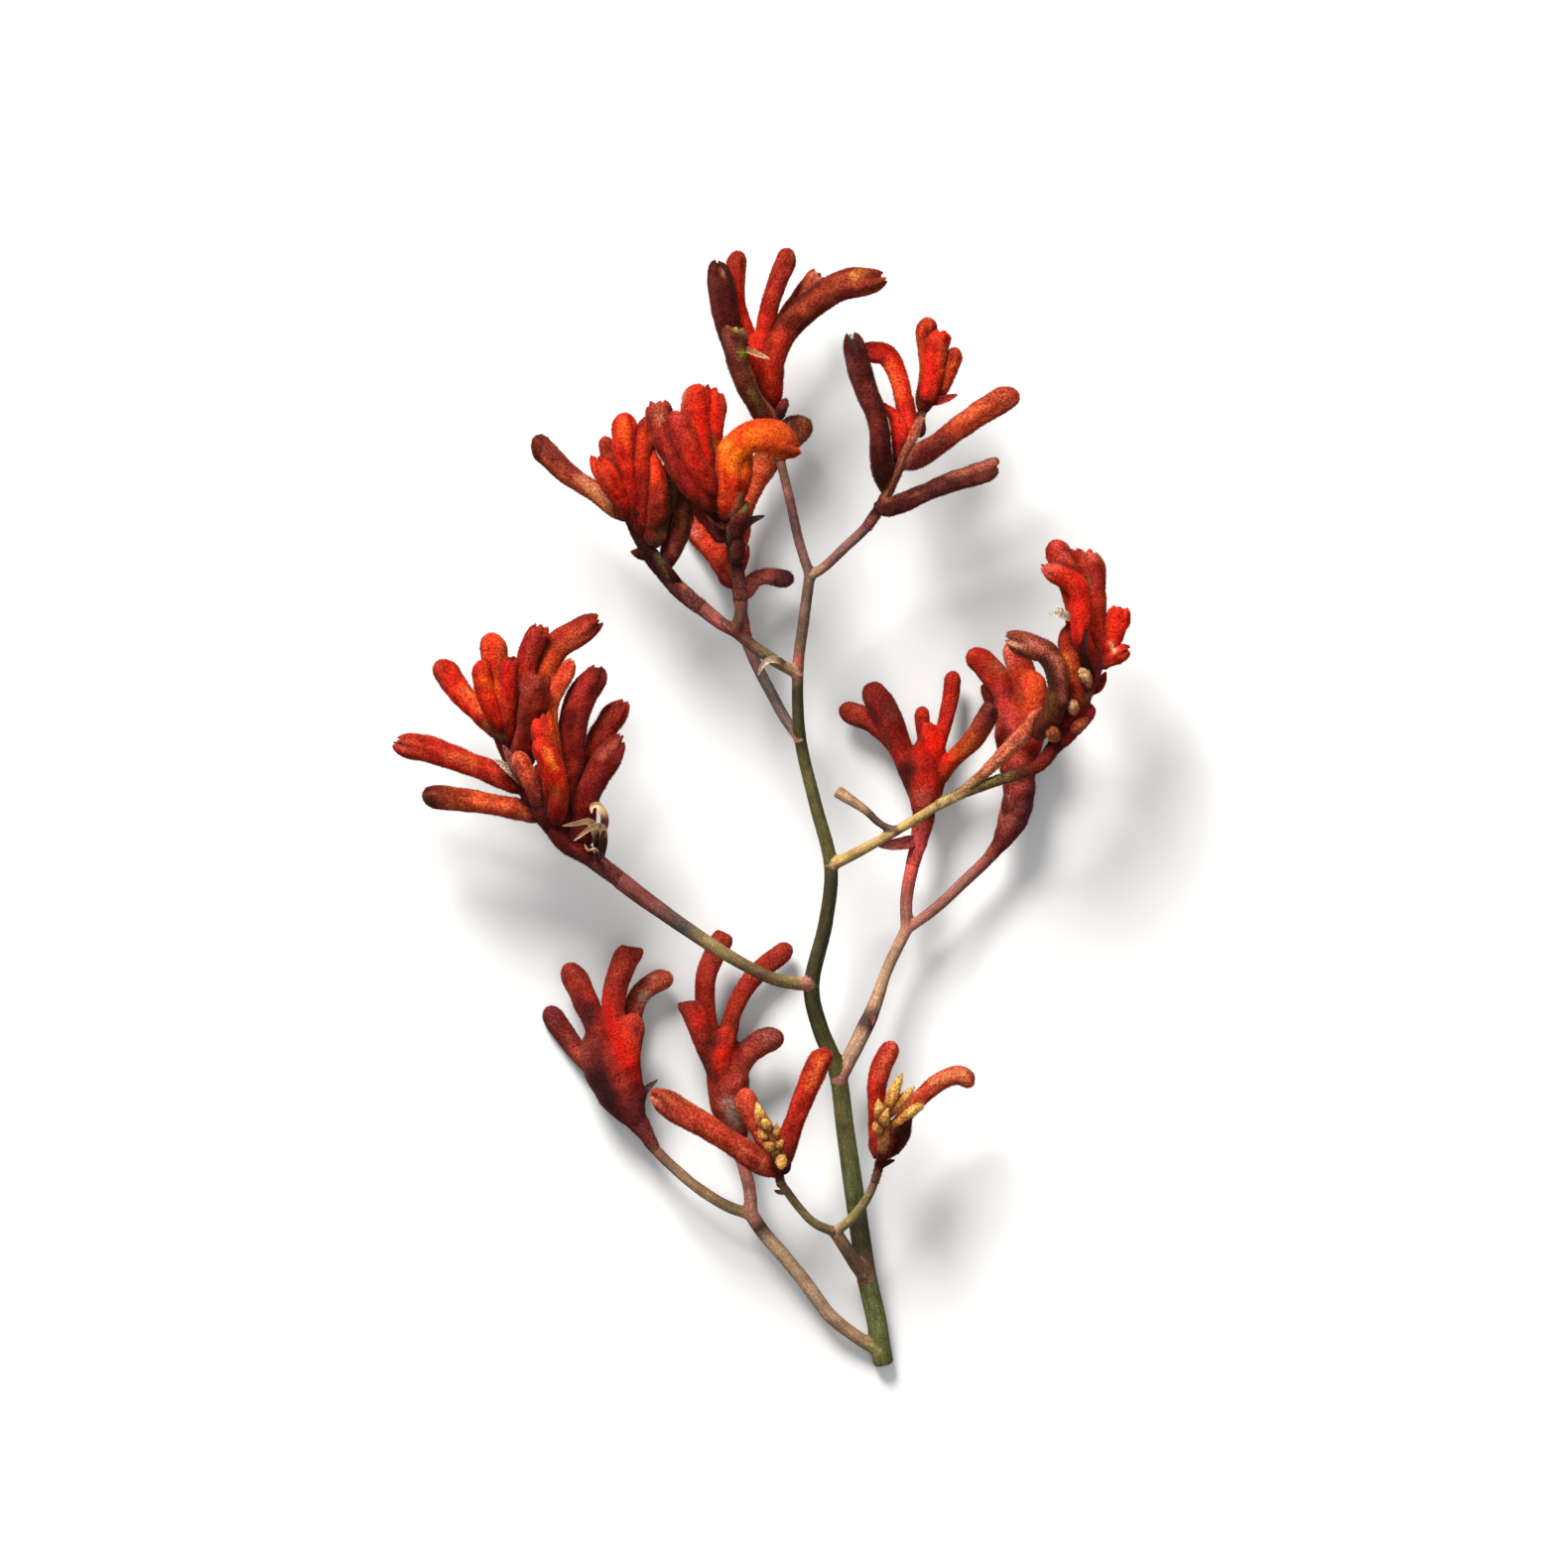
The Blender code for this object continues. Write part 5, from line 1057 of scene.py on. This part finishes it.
def flower_tint(tone, shares, angles, lobe, rng):
    """The colours over a flower, from its foot to its tip, with bright and deep streaks."""
    base, middle, tip, hair = (strong(colour) for colour in TONES[tone])
    up = ramp(shares, 0.08, 0.5)[:, None, None]
    over = ramp(shares, 0.55, 0.98)[:, None, None]
    tint = (base * (1 - up) + middle * up) * (1 - over) + tip * over
    vary = 0.3 if tone in CALM_TONES else 0.55
    streak = streaks(rng, shares, angles)[..., None]
    patch = ramp(lumps(rng, shares, angles, 1.0) - 1, -0.05, 0.5)[..., None]
    glow = vary * np.clip(0.55 * patch + 0.5 * ramp(streak, 0.15, 0.9), 0, 0.75)
    gloom = vary * 0.6 * ramp(streak, 0.1, -0.9) * (1 - patch)
    tint = tint * (1 - glow) + (hair * 0.8 + middle * 0.1) * glow
    tint = tint * (1 - gloom) + strong(SHADE) * gloom
    return tint * (0.8 + 0.25 * lobe)[None, :, None] * lumps(rng, shares, angles, 0.25)[..., None]


def throat_of(track, ahead, rim, middle, reach, tip, inner):
    """The inside of an open flower: four rings that run back from its rim and close in, and their
    colours, which darken deeper in as painted shade."""
    backs = np.array((0.15, 0.7, 1.7, 3.0)) * MM
    widths = np.array((0.86, 0.8, 0.72, 0.4))[:, None, None]
    lobes = np.array((1, 0.8, 0.4, 0))[:, None, None]
    deep = track.frames(1 - backs / track.length)[0]
    rings = rim * widths + middle
    rings = rings + ahead * (reach * 0.9)[None, :, None] * lobes
    sides = len(reach)
    lip = np.broadcast_to(tip * 0.6 + inner * 0.4, (1, sides, 3))
    # Painted shade: the throat darkens deeper in.
    dark = np.broadcast_to(inner, (3, sides, 3)) * np.array((1.0, 0.7, 0.4))[:, None, None]
    return deep[:, None] + rings, np.concatenate([lip, dark])


def flower(form, girth, tone, route, rng):
    """One tubular flower or bud: six lobes, grown together but for their tips."""
    track = Track(route)
    girth = girth * MM
    sides = FLOWER_SIDES[0 if girth > THICK_FLOWER else 1]
    rings = max(12, round(track.length / FLOWER_RING))
    nose_girths, closing, lobe_reach = ENDS.get(form, OTHER_END)
    nose = min(LONGEST_NOSE, nose_girths * girth / track.length)
    cap = np.sin(np.linspace(0, np.pi / 2, 9))[1:]
    shares = np.concatenate([np.linspace(0, 1 - nose, rings), 1 - nose + nose * cap])
    centre, ahead, normal, side = track.frames(shares)
    angles = circle(sides)
    bend = (np.clip(shares - 1 + nose, 0, nose) / nose) ** 2
    width = girth_along(form, shares) * np.sqrt(1 - bend * (1 - closing**2))
    phase = rng.uniform(0, 2 * np.pi)
    lobe = np.abs(np.cos(3 * (angles - phase)))
    which = np.floor((angles - phase) / (np.pi / 3) + 0.5).astype(int) % LOBES
    depth = 0.04 + 0.12 * ramp(shares, 0.7, 1.0)
    groove = 1 - depth[:, None] * (1 - lobe[None, :]) ** 1.4
    rough = 0.2 if form == "knob" else 0.07
    radius = (girth / 2 - SKIN_DEPTH * MM) * width[:, None] * groove * lumps(rng, shares, angles, rough)
    toward = rng.uniform(0, 2 * np.pi)
    slant = np.cos(angles - toward)
    nearing = ramp(shares, 1 - 1.3 * nose, 1)[:, None]
    reach = np.zeros_like(radius)
    if lobe_reach:
        spread = rng.uniform(-0.1, 0.3, LOBES)[which]
        longer = rng.uniform(0.5, 1.5, LOBES)[which]
        radius = radius * (1 + (spread * lobe**2)[None, :] * nearing)
        reach = girth * (lobe_reach * (lobe**1.5 * longer - 0.3) + 0.1 * slant)[None, :] * nearing
    out = spokes(side, normal, angles)
    aside = (side * np.cos(toward) + normal * np.sin(toward))[:, None] * (0.1 * girth * nearing)[..., None]
    grid = centre[:, None] + aside + out * radius[..., None] + ahead[:, None] * reach[..., None]

    tint = flower_tint(tone, shares, angles, lobe, rng)
    flow = flow_of(shares, angles, track.length, girth / 2, rng)
    _, _, tip, hair = (strong(colour) for colour in TONES[tone])
    throat = None
    if lobe_reach:
        # The throat takes painted shade, but the crust flower shows its cream slit instead.
        inner = linear(THROAT_PAINTED_SHADE if tone != "crust" else TONES["cream"][2])
        rim = out[-1:] * radius[-1:, :, None]
        throat = throat_of(track, ahead[-1], rim, aside[-1], reach[-1], tip, inner)
    return Form(grid, tint, flow, hair, throat, centre, girth / 2 * width)


class Form:
    """One tube of a head, until the head is whole: its skin, its throat where it is open, and the
    places and radii along its middle."""

    def __init__(self, grid, tint, flow, hair, throat, centre, radius):
        self.grid, self.tint, self.flow, self.hair, self.throat = grid, tint, flow, hair, throat
        self.centre, self.radius = centre, radius

    def shade(self, others):
        """Paints shade into the colour where the tube lies close against others."""
        spots = np.concatenate([other.centre for other in others])
        radii = np.concatenate([other.radius for other in others])
        points = self.grid.reshape(-1, 3)
        gap = (np.linalg.norm(points[:, None] - spots[None], axis=2) - radii[None]).min(1)
        crevice_shade = np.clip(1 - gap / CREVICE_SHADE_REACH, 0, 1).reshape(self.grid.shape[:2]) ** 1.3
        self.bright = 1 - CREVICE_SHADE_DEPTH * crevice_shade[..., None] * CREVICE_SHADE_WEIGHTS
        self.tint = self.tint * self.bright

    def add_to(self, piece, nap, rng):
        piece.felt(self.grid, self.tint, self.hair, nap, rng, self.bright)
        grid, tint, flow = self.grid, self.tint, self.flow
        if self.throat:
            grid = np.concatenate([grid, self.throat[0]])
            tint = np.concatenate([tint, self.throat[1]])
            flow = np.concatenate([flow, np.repeat(flow[-1:], len(self.throat[0]), 0)])
        piece.skin(grid, tint, flow)


def shaded(forms):
    """The forms of a head, each with painted shade where it lies close to the others."""
    for form in forms:
        form.shade([other for other in forms if other is not form])
    return forms


def tube(route, girths, make, rng, before=None, after=None):
    """A stem or axis of the given girths along the route: its grid, shares, angles and track."""
    spacing, sides, overlap, uneven = make
    track = Track(route, before, after)
    rings = max(6, round(track.length / spacing))
    first = -overlap / track.length if before else 0
    last = 1 + overlap / track.length if after else 1
    shares = np.linspace(first, last, rings)
    width = np.interp(np.clip(shares, 0, 1), np.linspace(0, 1, len(girths)), girths) * MM
    centre, _, normal, side = track.frames(shares)
    angles = circle(sides)
    radius = (width / 2)[:, None, None]
    swell = lumps(rng, shares, angles, uneven)[..., None]
    grid = centre[:, None] + spokes(side, normal, angles) * radius * swell
    return grid, shares, angles, track


def bract(piece, width, route, rng, colours, cup=0.25, thick=0.5, twist=0.0, wave=0.0, turning=(0.1, 1)):
    """A thin pointed blade that bends along its route and faces up, cupped across and veined
    along. Its colour turns from the first to the second between the two shares."""
    track = Track(route)
    rings = max(14, round(track.length / BRACT_RING))
    shares = np.linspace(0, 1, rings)
    angles = circle(BRACT_SIDES)
    centre, _, normal, side = track.frames(shares)
    broad = width * MM * np.interp(shares, (0, 0.12, 0.35, 0.7, 0.92, 1), (0.55, 0.8, 1, 0.82, 0.4, 0.08))
    middle = rings // 2
    turn = np.arctan2(-side[middle, 2], normal[middle, 2]) + twist * (shares[:, None] - 0.5)
    side, normal = side * np.cos(turn) + normal * np.sin(turn), normal * np.cos(turn) - side * np.sin(turn)
    x = np.cos(angles)[None, :] * broad[:, None] / 2
    edge = np.abs(np.cos(angles))[None, :]
    thickness = thick * MM * np.interp(shares, (0, 0.5, 1), (1.5, 1, 0.6))
    y = np.sin(angles)[None, :] * thickness[:, None] / 2 * (1.15 - 0.75 * edge**2)
    y = y + cup * broad[:, None] * (edge**2 - 0.4)
    y = y + wave * broad[:, None] * edge * np.sin(9 * shares[:, None] + 2 * np.sign(np.cos(angles))[None, :])
    grid = centre[:, None] + side[:, None] * x[..., None] + normal[:, None] * y[..., None]
    foot, tip = (linear(colour) for colour in colours)
    t = ramp(shares, *turning)[:, None, None]
    uneven = lumps(rng, shares, angles, 0.15)[..., None]
    tint = (foot * (1 - t) + tip * t) * (0.8 + 0.3 * edge)[..., None] * uneven
    flow = np.stack([np.broadcast_to(np.cos(angles)[None, :] * 3, x.shape),
                     np.broadcast_to(np.sin(angles)[None, :] * 0.3, x.shape),
                     np.broadcast_to(shares[:, None] * track.length / MM * 0.12, x.shape)], 2)
    piece.skin(grid, tint, flow + rng.uniform(0, 90, 3))
    return grid, tint


def node_tree(name):
    """A new material with its nodes and its shader."""
    material = bpy.data.materials.new(name)
    material.use_nodes = True
    tree = material.node_tree
    return material, tree, tree.nodes["Principled BSDF"]


def noise(tree, vector, scale, detail=3.0, rough=0.55):
    node = tree.nodes.new("ShaderNodeTexNoise")
    for name, number in (("Scale", scale), ("Detail", detail), ("Roughness", rough)):
        node.inputs[name].default_value = number
    tree.links.new(vector, node.inputs["Vector"])
    return node.outputs["Fac"]


def mapped(tree, value, source, target):
    """The value, moved from one range to another."""
    node = tree.nodes.new("ShaderNodeMapRange")
    node.clamp = True
    for name, number in zip(("From Min", "From Max", "To Min", "To Max"), (*source, *target)):
        node.inputs[name].default_value = number
    tree.links.new(value, node.inputs["Value"])
    return node.outputs["Result"]


def scaled(tree, colour, factor):
    """The colour times a factor, or times another colour."""
    node = tree.nodes.new("ShaderNodeVectorMath")
    node.operation = "MULTIPLY"
    tree.links.new(colour, node.inputs[0])
    tree.links.new(factor, node.inputs[1])
    return node.outputs["Vector"]


def mixed(tree, factor, first, second):
    """A colour between two, each a socket or a plain colour."""
    node = tree.nodes.new("ShaderNodeMix")
    node.data_type = "RGBA"
    tree.links.new(factor, node.inputs["Factor"])
    for socket, value in zip((node.inputs[6], node.inputs[7]), (first, second)):
        if isinstance(value, tuple):
            socket.default_value = (*value, 1)
        else:
            tree.links.new(value, socket)
    return node.outputs[2]


def attribute(tree, name, output):
    node = tree.nodes.new("ShaderNodeAttribute")
    node.attribute_name = name
    return node.outputs[output]


def coordinates(tree, output):
    return tree.nodes.new("ShaderNodeTexCoord").outputs[output]


def surface(name):
    """A new material with its nodes and shader, and the stored colour, the flow and the place."""
    material, tree, shader = node_tree(name)
    tint = attribute(tree, "tint", "Color")
    flow = attribute(tree, "flow", "Vector")
    return material, tree, shader, tint, flow, coordinates(tree, "Object")


def finished(tree, shader, colour, roughness, specular, relief, strength, depth):
    """Gives the shader its colour, its gloss and a fine relief of this strength and depth."""
    tree.links.new(colour, shader.inputs["Base Color"])
    tree.links.new(roughness, shader.inputs["Roughness"])
    shader.inputs["Specular IOR Level"].default_value = specular
    node = tree.nodes.new("ShaderNodeBump")
    node.inputs["Strength"].default_value = strength
    node.inputs["Distance"].default_value = depth
    tree.links.new(relief, node.inputs["Height"])
    tree.links.new(node.outputs["Normal"], shader.inputs["Normal"])


def felt_material(name, sheen_tint=(1.0, 0.55, 0.42)):
    """Felt: a coloured nap with lengthwise streaks, fine grains of light and dark, and a soft sheen."""
    material, tree, shader, tint, flow, here = surface(name)
    lines = noise(tree, flow, 0.55, 3.0, 0.5)
    grains = noise(tree, here, 1600.0, 2.0, 0.5)
    patches = noise(tree, here, 320.0, 2.0, 0.5)
    warmth = mixed(tree, mapped(tree, patches, (0.34, 0.66), (0, 1)), (0.84, 0.66, 0.66), (1.12, 1.3, 1.25))
    nap = mixed(tree, mapped(tree, grains, (0.36, 0.64), (0, 1)), (0.62, 0.36, 0.38), (1.3, 1.74, 1.7))
    colour = scaled(tree, tint, mapped(tree, lines, (0.33, 0.67), (0.92, 1.08)))
    colour = scaled(tree, scaled(tree, colour, warmth), nap)
    roughness = mapped(tree, grains, NOISE_SPAN, (0.95, 0.72))
    finished(tree, shader, colour, roughness, 0.12, grains, 0.6, 0.35 * MM)
    shader.inputs["Sheen Weight"].default_value = 0.11
    shader.inputs["Sheen Roughness"].default_value = 0.4
    shader.inputs["Sheen Tint"].default_value = (*sheen_tint, 1)
    return material


def skin_material(name):
    """Stalk skin: green to tan, streaked lengthwise, flecked, and slightly glossy."""
    material, tree, shader, tint, flow, here = surface(name)
    ribs = noise(tree, flow, 2.2, 3.0, 0.55)
    patches = noise(tree, here, 160.0, 3.0, 0.6)
    flecks = noise(tree, here, 1500.0, 2.0, 0.6)
    colour = scaled(tree, tint, mapped(tree, ribs, NOISE_SPAN, (0.68, 1.32)))
    colour = scaled(tree, colour, mapped(tree, patches, NOISE_SPAN, (0.62, 1.3)))
    colour = scaled(tree, colour, mapped(tree, flecks, (0.5, 0.72), (1, 1.9)))
    roughness = mapped(tree, patches, NOISE_SPAN, (0.5, 0.78))
    finished(tree, shader, colour, roughness, 0.22, ribs, 0.45, 0.4 * MM)
    return material


def paper_material(name):
    """Dry bracts: pale, papery, veined along, with darker stains."""
    material, tree, shader, tint, flow, here = surface(name)
    veins = noise(tree, flow, 4.5, 3.0, 0.6)
    stains = noise(tree, here, 260.0, 3.0, 0.6)
    colour = scaled(tree, tint, mapped(tree, veins, NOISE_SPAN, (0.7, 1.25)))
    colour = mixed(tree, mapped(tree, stains, (0.5, 0.7), (0, 0.6)), colour, tuple(linear(DRY_STAIN)))
    roughness = mapped(tree, veins, NOISE_SPAN, (0.8, 0.55))
    finished(tree, shader, colour, roughness, 0.3, veins, 0.5, 0.3 * MM)
    return material


def stand_for(obj, node):
    """The piece moves with the part and stands for its node, which is hidden."""
    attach(obj, "root")
    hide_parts(node)


def skin_along(stops, shares):
    """The stalk's colour at these shares of a branch."""
    at = [share for share, _ in stops]
    colours = linear([SKINS[name] for _, name in stops])
    return np.stack([np.interp(shares, at, colours[:, k]) for k in range(3)], 1)


def grown_together(rough, voxel, rounds):
    """The skins of a piece as one smooth mesh without materials, and its points."""
    points, _, _, faces, _ = rough.shape()
    start = mesh_object(rough.name, np.concatenate(points), faces)
    remesh = start.modifiers.new("grow_together", "REMESH")
    remesh.mode = "VOXEL"
    remesh.voxel_size = voxel
    soften = start.modifiers.new("soften", "SMOOTH")
    soften.iterations = rounds
    graph = bpy.context.evaluated_depsgraph_get()
    grown = bpy.data.meshes.new_from_object(start.evaluated_get(graph))
    bpy.data.objects.remove(start)
    co = np.empty(len(grown.vertices) * 3, np.float32)
    grown.vertices.foreach_get("co", co)
    co = above_floor(co.reshape(-1, 3).astype(float))
    grown.vertices.foreach_set("co", co.astype(np.float32).ravel())
    grown.materials.clear()
    grown.shade_smooth()
    return grown, co


def join_mesh(obj, mesh, material):
    """Adds a mesh to the object, which then has no bake map of its own."""
    mesh.materials.append(material)
    other = linked(mesh.name, mesh)
    with bpy.context.temp_override(active_object=obj, selected_editable_objects=[obj, other]):
        bpy.ops.object.join()
    obj.data.uv_layers.remove(obj.data.uv_layers[BAKE_MAP])


def nearest_of(sources, points):
    """For each point, the number of the source that is nearest to it."""
    tree = KDTree(len(sources))
    for i, source in enumerate(sources):
        tree.insert(source, i)
    tree.balance()
    return np.array([tree.find(point)[1] for point in points])


def build_stalk():
    """The stem, its branches and its twigs, grown together at their forks, with small bracts."""
    rng = np.random.default_rng(STALK_SEED)
    rough = Piece("stalk_rough")
    samples = []
    for name, (route, girths) in {"stem": (STEM_ROUTE, STEM_GIRTHS), **BRANCHES}.items():
        after = point_after(route[-1], axes(HEADS))
        grid, _, _, track = tube(route, girths, STALK_TUBE, rng, after=after)
        rough.skin(grid, np.zeros_like(grid), np.zeros_like(grid))
        shares = np.linspace(0, 1, max(4, round(track.length / SAMPLE_STEP)))
        centre, _, normal, side = track.frames(shares)
        colour = skin_along(STALK_SKINS[name], shares)
        samples += zip(centre, normal, side, colour, shares * track.length / MM)
    grown, co = grown_together(rough, STALK_VOXEL, STALK_ROUNDS)
    columns = [np.array(column) for column in zip(*samples)]
    nearest = nearest_of(columns[0], co)
    centre, normal, side, colour, along = (column[nearest] for column in columns)
    out = co - centre
    angle = np.arctan2((out * normal).sum(1), (out * side).sum(1))
    flow = np.stack([np.cos(angle) * 2.2, np.sin(angle) * 2.2, along * 0.07], 1)
    # Painted light: the stalk's side towards the key lamp at the upper left is made paler and a little
    # pinker.
    painted_light = unit(out) @ unit(np.array((-0.6, 0.7, 0.4)))  # the stalk is paler towards the upper left
    blush = linear(SKINS["pink"]) * (0.06 * np.clip(painted_light, 0, 1))[:, None]
    paint(grown, colour * (0.86 + 0.34 * painted_light[:, None]) + blush, flow)
    material = skin_material("stalk_skin")

    piece = Piece("stalk")
    for width, tip, route in STALK_BRACTS:
        bract(piece, width, route, rng, (BRACT_FOOT, tip))
    stalk = piece.build(material)
    join_mesh(stalk, grown, material)
    stand_for(stalk, "stem")


def axis_form(route, girths, make, rng, before, after, tones):
    """The axis of a head, from the colour of its branch to its own."""
    grid, shares, angles, track = tube(route, girths, make, rng, before, after)
    if not after:
        grid[-1] = grid[-1] * 0.3 + grid[-1].mean(0) * 0.7
    foot, top, hair = linear(tones[0]), strong(tones[1]), strong(tones[2])
    pale = ramp(shares, 0.45, 0.0)[:, None, None]
    tint = (top * (1 - pale) + foot * pale) * lumps(rng, shares, angles, 0.3)[..., None]
    flow = flow_of(shares, angles, track.length, girths[0] * MM / 2, rng)
    radius = np.interp(shares, np.linspace(0, 1, len(girths)), girths) * MM / 2
    return Form(grid, tint, flow, hair, None, track.frames(shares)[0], radius)


def stains_and_painted_light(points, tint, spots):
    """The tint with spots of colour: patches of the felt's own colour, painted light and painted shade."""
    for colour, reach, start, *rest in spots:
        start = place(start)
        along = place(rest[0]) - start if rest else np.zeros(3)
        share = ((points - start) @ along / max(along @ along, 1e-12)).clip(0, 1)
        away = (points - start - share[..., None] * along) / (reach * MM) * (1, 1, 0.5)
        cover = 0.9 * np.exp(-(away**2).sum(-1))[..., None]
        tint = tint * (1 - cover) + linear(colour) * cover
    return tint


def mesh_numbers(items, size):
    """The numbers of the points of each edge or triangle of a mesh."""
    numbers = np.empty(len(items) * size, np.int32)
    items.foreach_get("vertices", numbers)
    return numbers.reshape(-1, size)


def thinned(grids):
    """Every second value, both ways, of all the grids."""
    return np.concatenate([grid[::2, ::2].reshape(-1, 3) for grid in grids])


def webbed(name, forms, spots, rng):
    """A head whose flowers are webbed at their feet: one smooth skin over all its forms, with
    their colours run together, under short felt."""
    rough = Piece(name + "_rough")
    for form in forms:
        rough.skin(form.grid, form.tint, form.flow)
    grown, co = grown_together(rough, WEB_VOXEL, WEB_ROUNDS)
    nearest = nearest_of(thinned([form.grid for form in forms]), co)
    tint = thinned([form.tint for form in forms])[nearest]
    way = thinned([unit(np.gradient(form.grid, axis=0)) for form in forms])[nearest]
    edges = mesh_numbers(grown.edges, 2)
    first, second = edges.T
    ties = np.bincount(edges.ravel(), minlength=len(co))[:, None] + 1
    for _ in range(BLEND_ROUNDS):
        blend = tint.copy()
        np.add.at(blend, first, tint[second])
        np.add.at(blend, second, tint[first])
        tint = blend / ties
    tint = stains_and_painted_light(co, tint, spots)
    paint(grown, tint, co * WEB_FLOW)

    grown.calc_loop_triangles()
    corners = mesh_numbers(grown.loop_triangles, 3)
    a, b, c = (co[corners[:, k]] for k in range(3))
    normal = np.cross(b - a, c - a)
    area = np.linalg.norm(normal, axis=1) / 2
    count = int(area.sum() / MM**2 * WEB_FELT[0])
    pick = np.minimum(np.searchsorted(np.cumsum(area), rng.uniform(0, area.sum(), count)), len(area) - 1)
    u, v = rng.uniform(0, 1, (2, count, 1))
    fold = u + v > 1
    u, v = np.where(fold, 1 - u, u), np.where(fold, 1 - v, v)
    root = a[pick] + (b - a)[pick] * u + (c - a)[pick] * v
    out = unit(normal[pick])
    forward = way[corners[pick, 0]]
    forward = unit(forward - out * (forward * out).sum(1, keepdims=True))
    colour = tint[corners[pick, 0]]
    down = Piece(name + "_felt")
    down.blades(root, out, forward, colour, colour * 1.15, WEB_FELT, rng)
    return grown, down


def build_head(index, name, head, material):
    """A flower head: its axis, its flowers and its bracts."""
    rng = np.random.default_rng(HEAD_SEED + index)
    route, girths = head["axis"]
    before = point_before(route[0], [branch for branch, _ in BRANCHES.values()])
    after = point_after(route[-1], axes(YOUNG_BUDS))
    tones = (SKINS[head["foot"]], TONES[head["tone"]][0], TONES[head["tone"]][3])
    forms = [axis_form(route, girths, AXIS_TUBE, rng, before, after, tones)]
    forms = shaded(forms + [flower(*words, rng) for words in head["flowers"]])
    if head["webbed"]:
        skin, piece = webbed(name, forms, head["spots"], rng)
    else:
        skin, piece = None, Piece(name + "_felt")
        for form in forms:
            form.tint = stains_and_painted_light(form.grid, form.tint, head["spots"])
            form.add_to(piece, HEAD_FELT, rng)
    for width, tone, bract_route in head["bracts"]:
        foot, _, tip, hair = TONES[tone]
        grid, tint = bract(piece, width, bract_route, rng, (foot, tip))
        piece.felt(grid, tint, linear(hair) * 0.6, BRACT_FELT, rng)
    obj = piece.build(material)
    if skin:
        join_mesh(obj, skin, material)
    stand_for(obj, name)


def build_young_buds(index, name, buds, material):
    """The tip of a head with its golden young buds."""
    rng = np.random.default_rng(BUD_SEED + index)
    route, girths = buds["axis"]
    before = point_before(route[0], axes(HEADS))
    tones = (*BUD_AXIS_COLOURS, TONES["bud"][3])
    forms = [axis_form(route, girths, BUD_AXIS_TUBE, rng, before, None, tones)]
    forms += [flower(shape, girth, "bud", bud, rng) for shape, (girth, bud) in zip(BUD_SHAPES, buds["buds"])]
    piece = Piece(name + "_felt")
    for form in shaded(forms):
        form.add_to(piece, BUD_FELT, rng)
    stand_for(piece.build(material), name)


def build_dry_bracts(material):
    """The papery bracts at the foot of the left head, twisted to one side and the other in turn."""
    rng = np.random.default_rng(DRY_BRACT_SEED)
    piece = Piece("papery_bracts")
    for i, (width, route) in enumerate(DRY_BRACTS):
        bract(piece, width, route, rng, DRY_BRACT_COLOURS, cup=0.42, thick=0.22, twist=(-1) ** i * 0.7,
              wave=0.07, turning=(0.42, 0.6))
    stand_for(piece.build(material), "dry_bracts")


def build_stage():
    """A pale floor, soft light from the upper left and all round, and the camera high above."""
    scene = bpy.context.scene
    corners = np.array(((-1, -1, 0), (1, -1, 0), (1, 1, 0), (-1, 1, 0))) * FLOOR_HALF
    mesh = bpy.data.meshes.new("floor")
    mesh.from_pydata(corners.tolist(), [], [(0, 1, 2, 3)])
    floor = linked("floor", mesh)
    material, tree, shader = node_tree("pale_floor")
    cloud = noise(tree, coordinates(tree, "Object"), 3.0, 2.0)
    colour = mixed(tree, mapped(tree, cloud, NOISE_SPAN, (0, 1)), *FLOOR_GREYS)
    tree.links.new(colour, shader.inputs["Base Color"])
    shader.inputs["Roughness"].default_value = 0.9
    shader.inputs["Specular IOR Level"].default_value = 0.1
    mesh.materials.append(material)
    floor.visible_diffuse = False  # a dark ground reflects nothing into the shaded sides

    world = bpy.data.worlds.new("studio")
    world.use_nodes = True
    tree = world.node_tree
    separate = tree.nodes.new("ShaderNodeSeparateXYZ")
    tree.links.new(coordinates(tree, "Generated"), separate.inputs[0])
    sky = mapped(tree, separate.outputs["Z"], (-0.25, 0.5), (0.12, 1))
    background = tree.nodes["Background"]
    tree.links.new(mixed(tree, sky, (0.0, 0.0, 0.0), (1.0, 1.0, 1.0)), background.inputs["Color"])
    background.inputs["Strength"].default_value = WORLD_LIGHT
    scene.world = world
    for name, spot, size, power, tint in LAMPS:
        light = bpy.data.lights.new(name, "AREA")
        light.shape = "DISK"
        light.size = size
        light.energy = power
        light.color = tint
        lamp = linked(name, light)
        lamp.location = spot
        lamp.rotation_euler = (Vector(LAMP_AIM) - Vector(spot)).to_track_quat("-Z", "Y").to_euler()

    camera = bpy.data.cameras.new("camera")
    camera.lens = LENS
    camera.sensor_width = SENSOR
    camera.clip_end = FAR_CLIP
    eye = linked("camera", camera)
    aim = place((PHOTO_SIDE / 2, PHOTO_SIDE / 2, CAMERA_AIM_HEIGHT))
    eye.location = (aim[0], aim[1], aim[2] + PHOTO_SIDE * PIXEL * camera.lens / camera.sensor_width)
    scene.camera = eye
    scene.view_settings.view_transform = "Standard"
    scene.view_settings.look = "None"


def main():
    build_stalk()
    felt = {slot: felt_material(slot + "_nap") for slot in ("rust_felt", "bright_felt", "maroon_felt")}
    for i, (name, head) in enumerate(HEADS.items()):
        build_head(i, name, head, felt[head["slot"]])
    gold = felt_material("golden_bud_nap", (1.0, 0.85, 0.6))
    for i, (name, buds) in enumerate(YOUNG_BUDS.items()):
        build_young_buds(i, name, buds, gold)
    build_dry_bracts(paper_material("papery"))
    build_stage()


main()
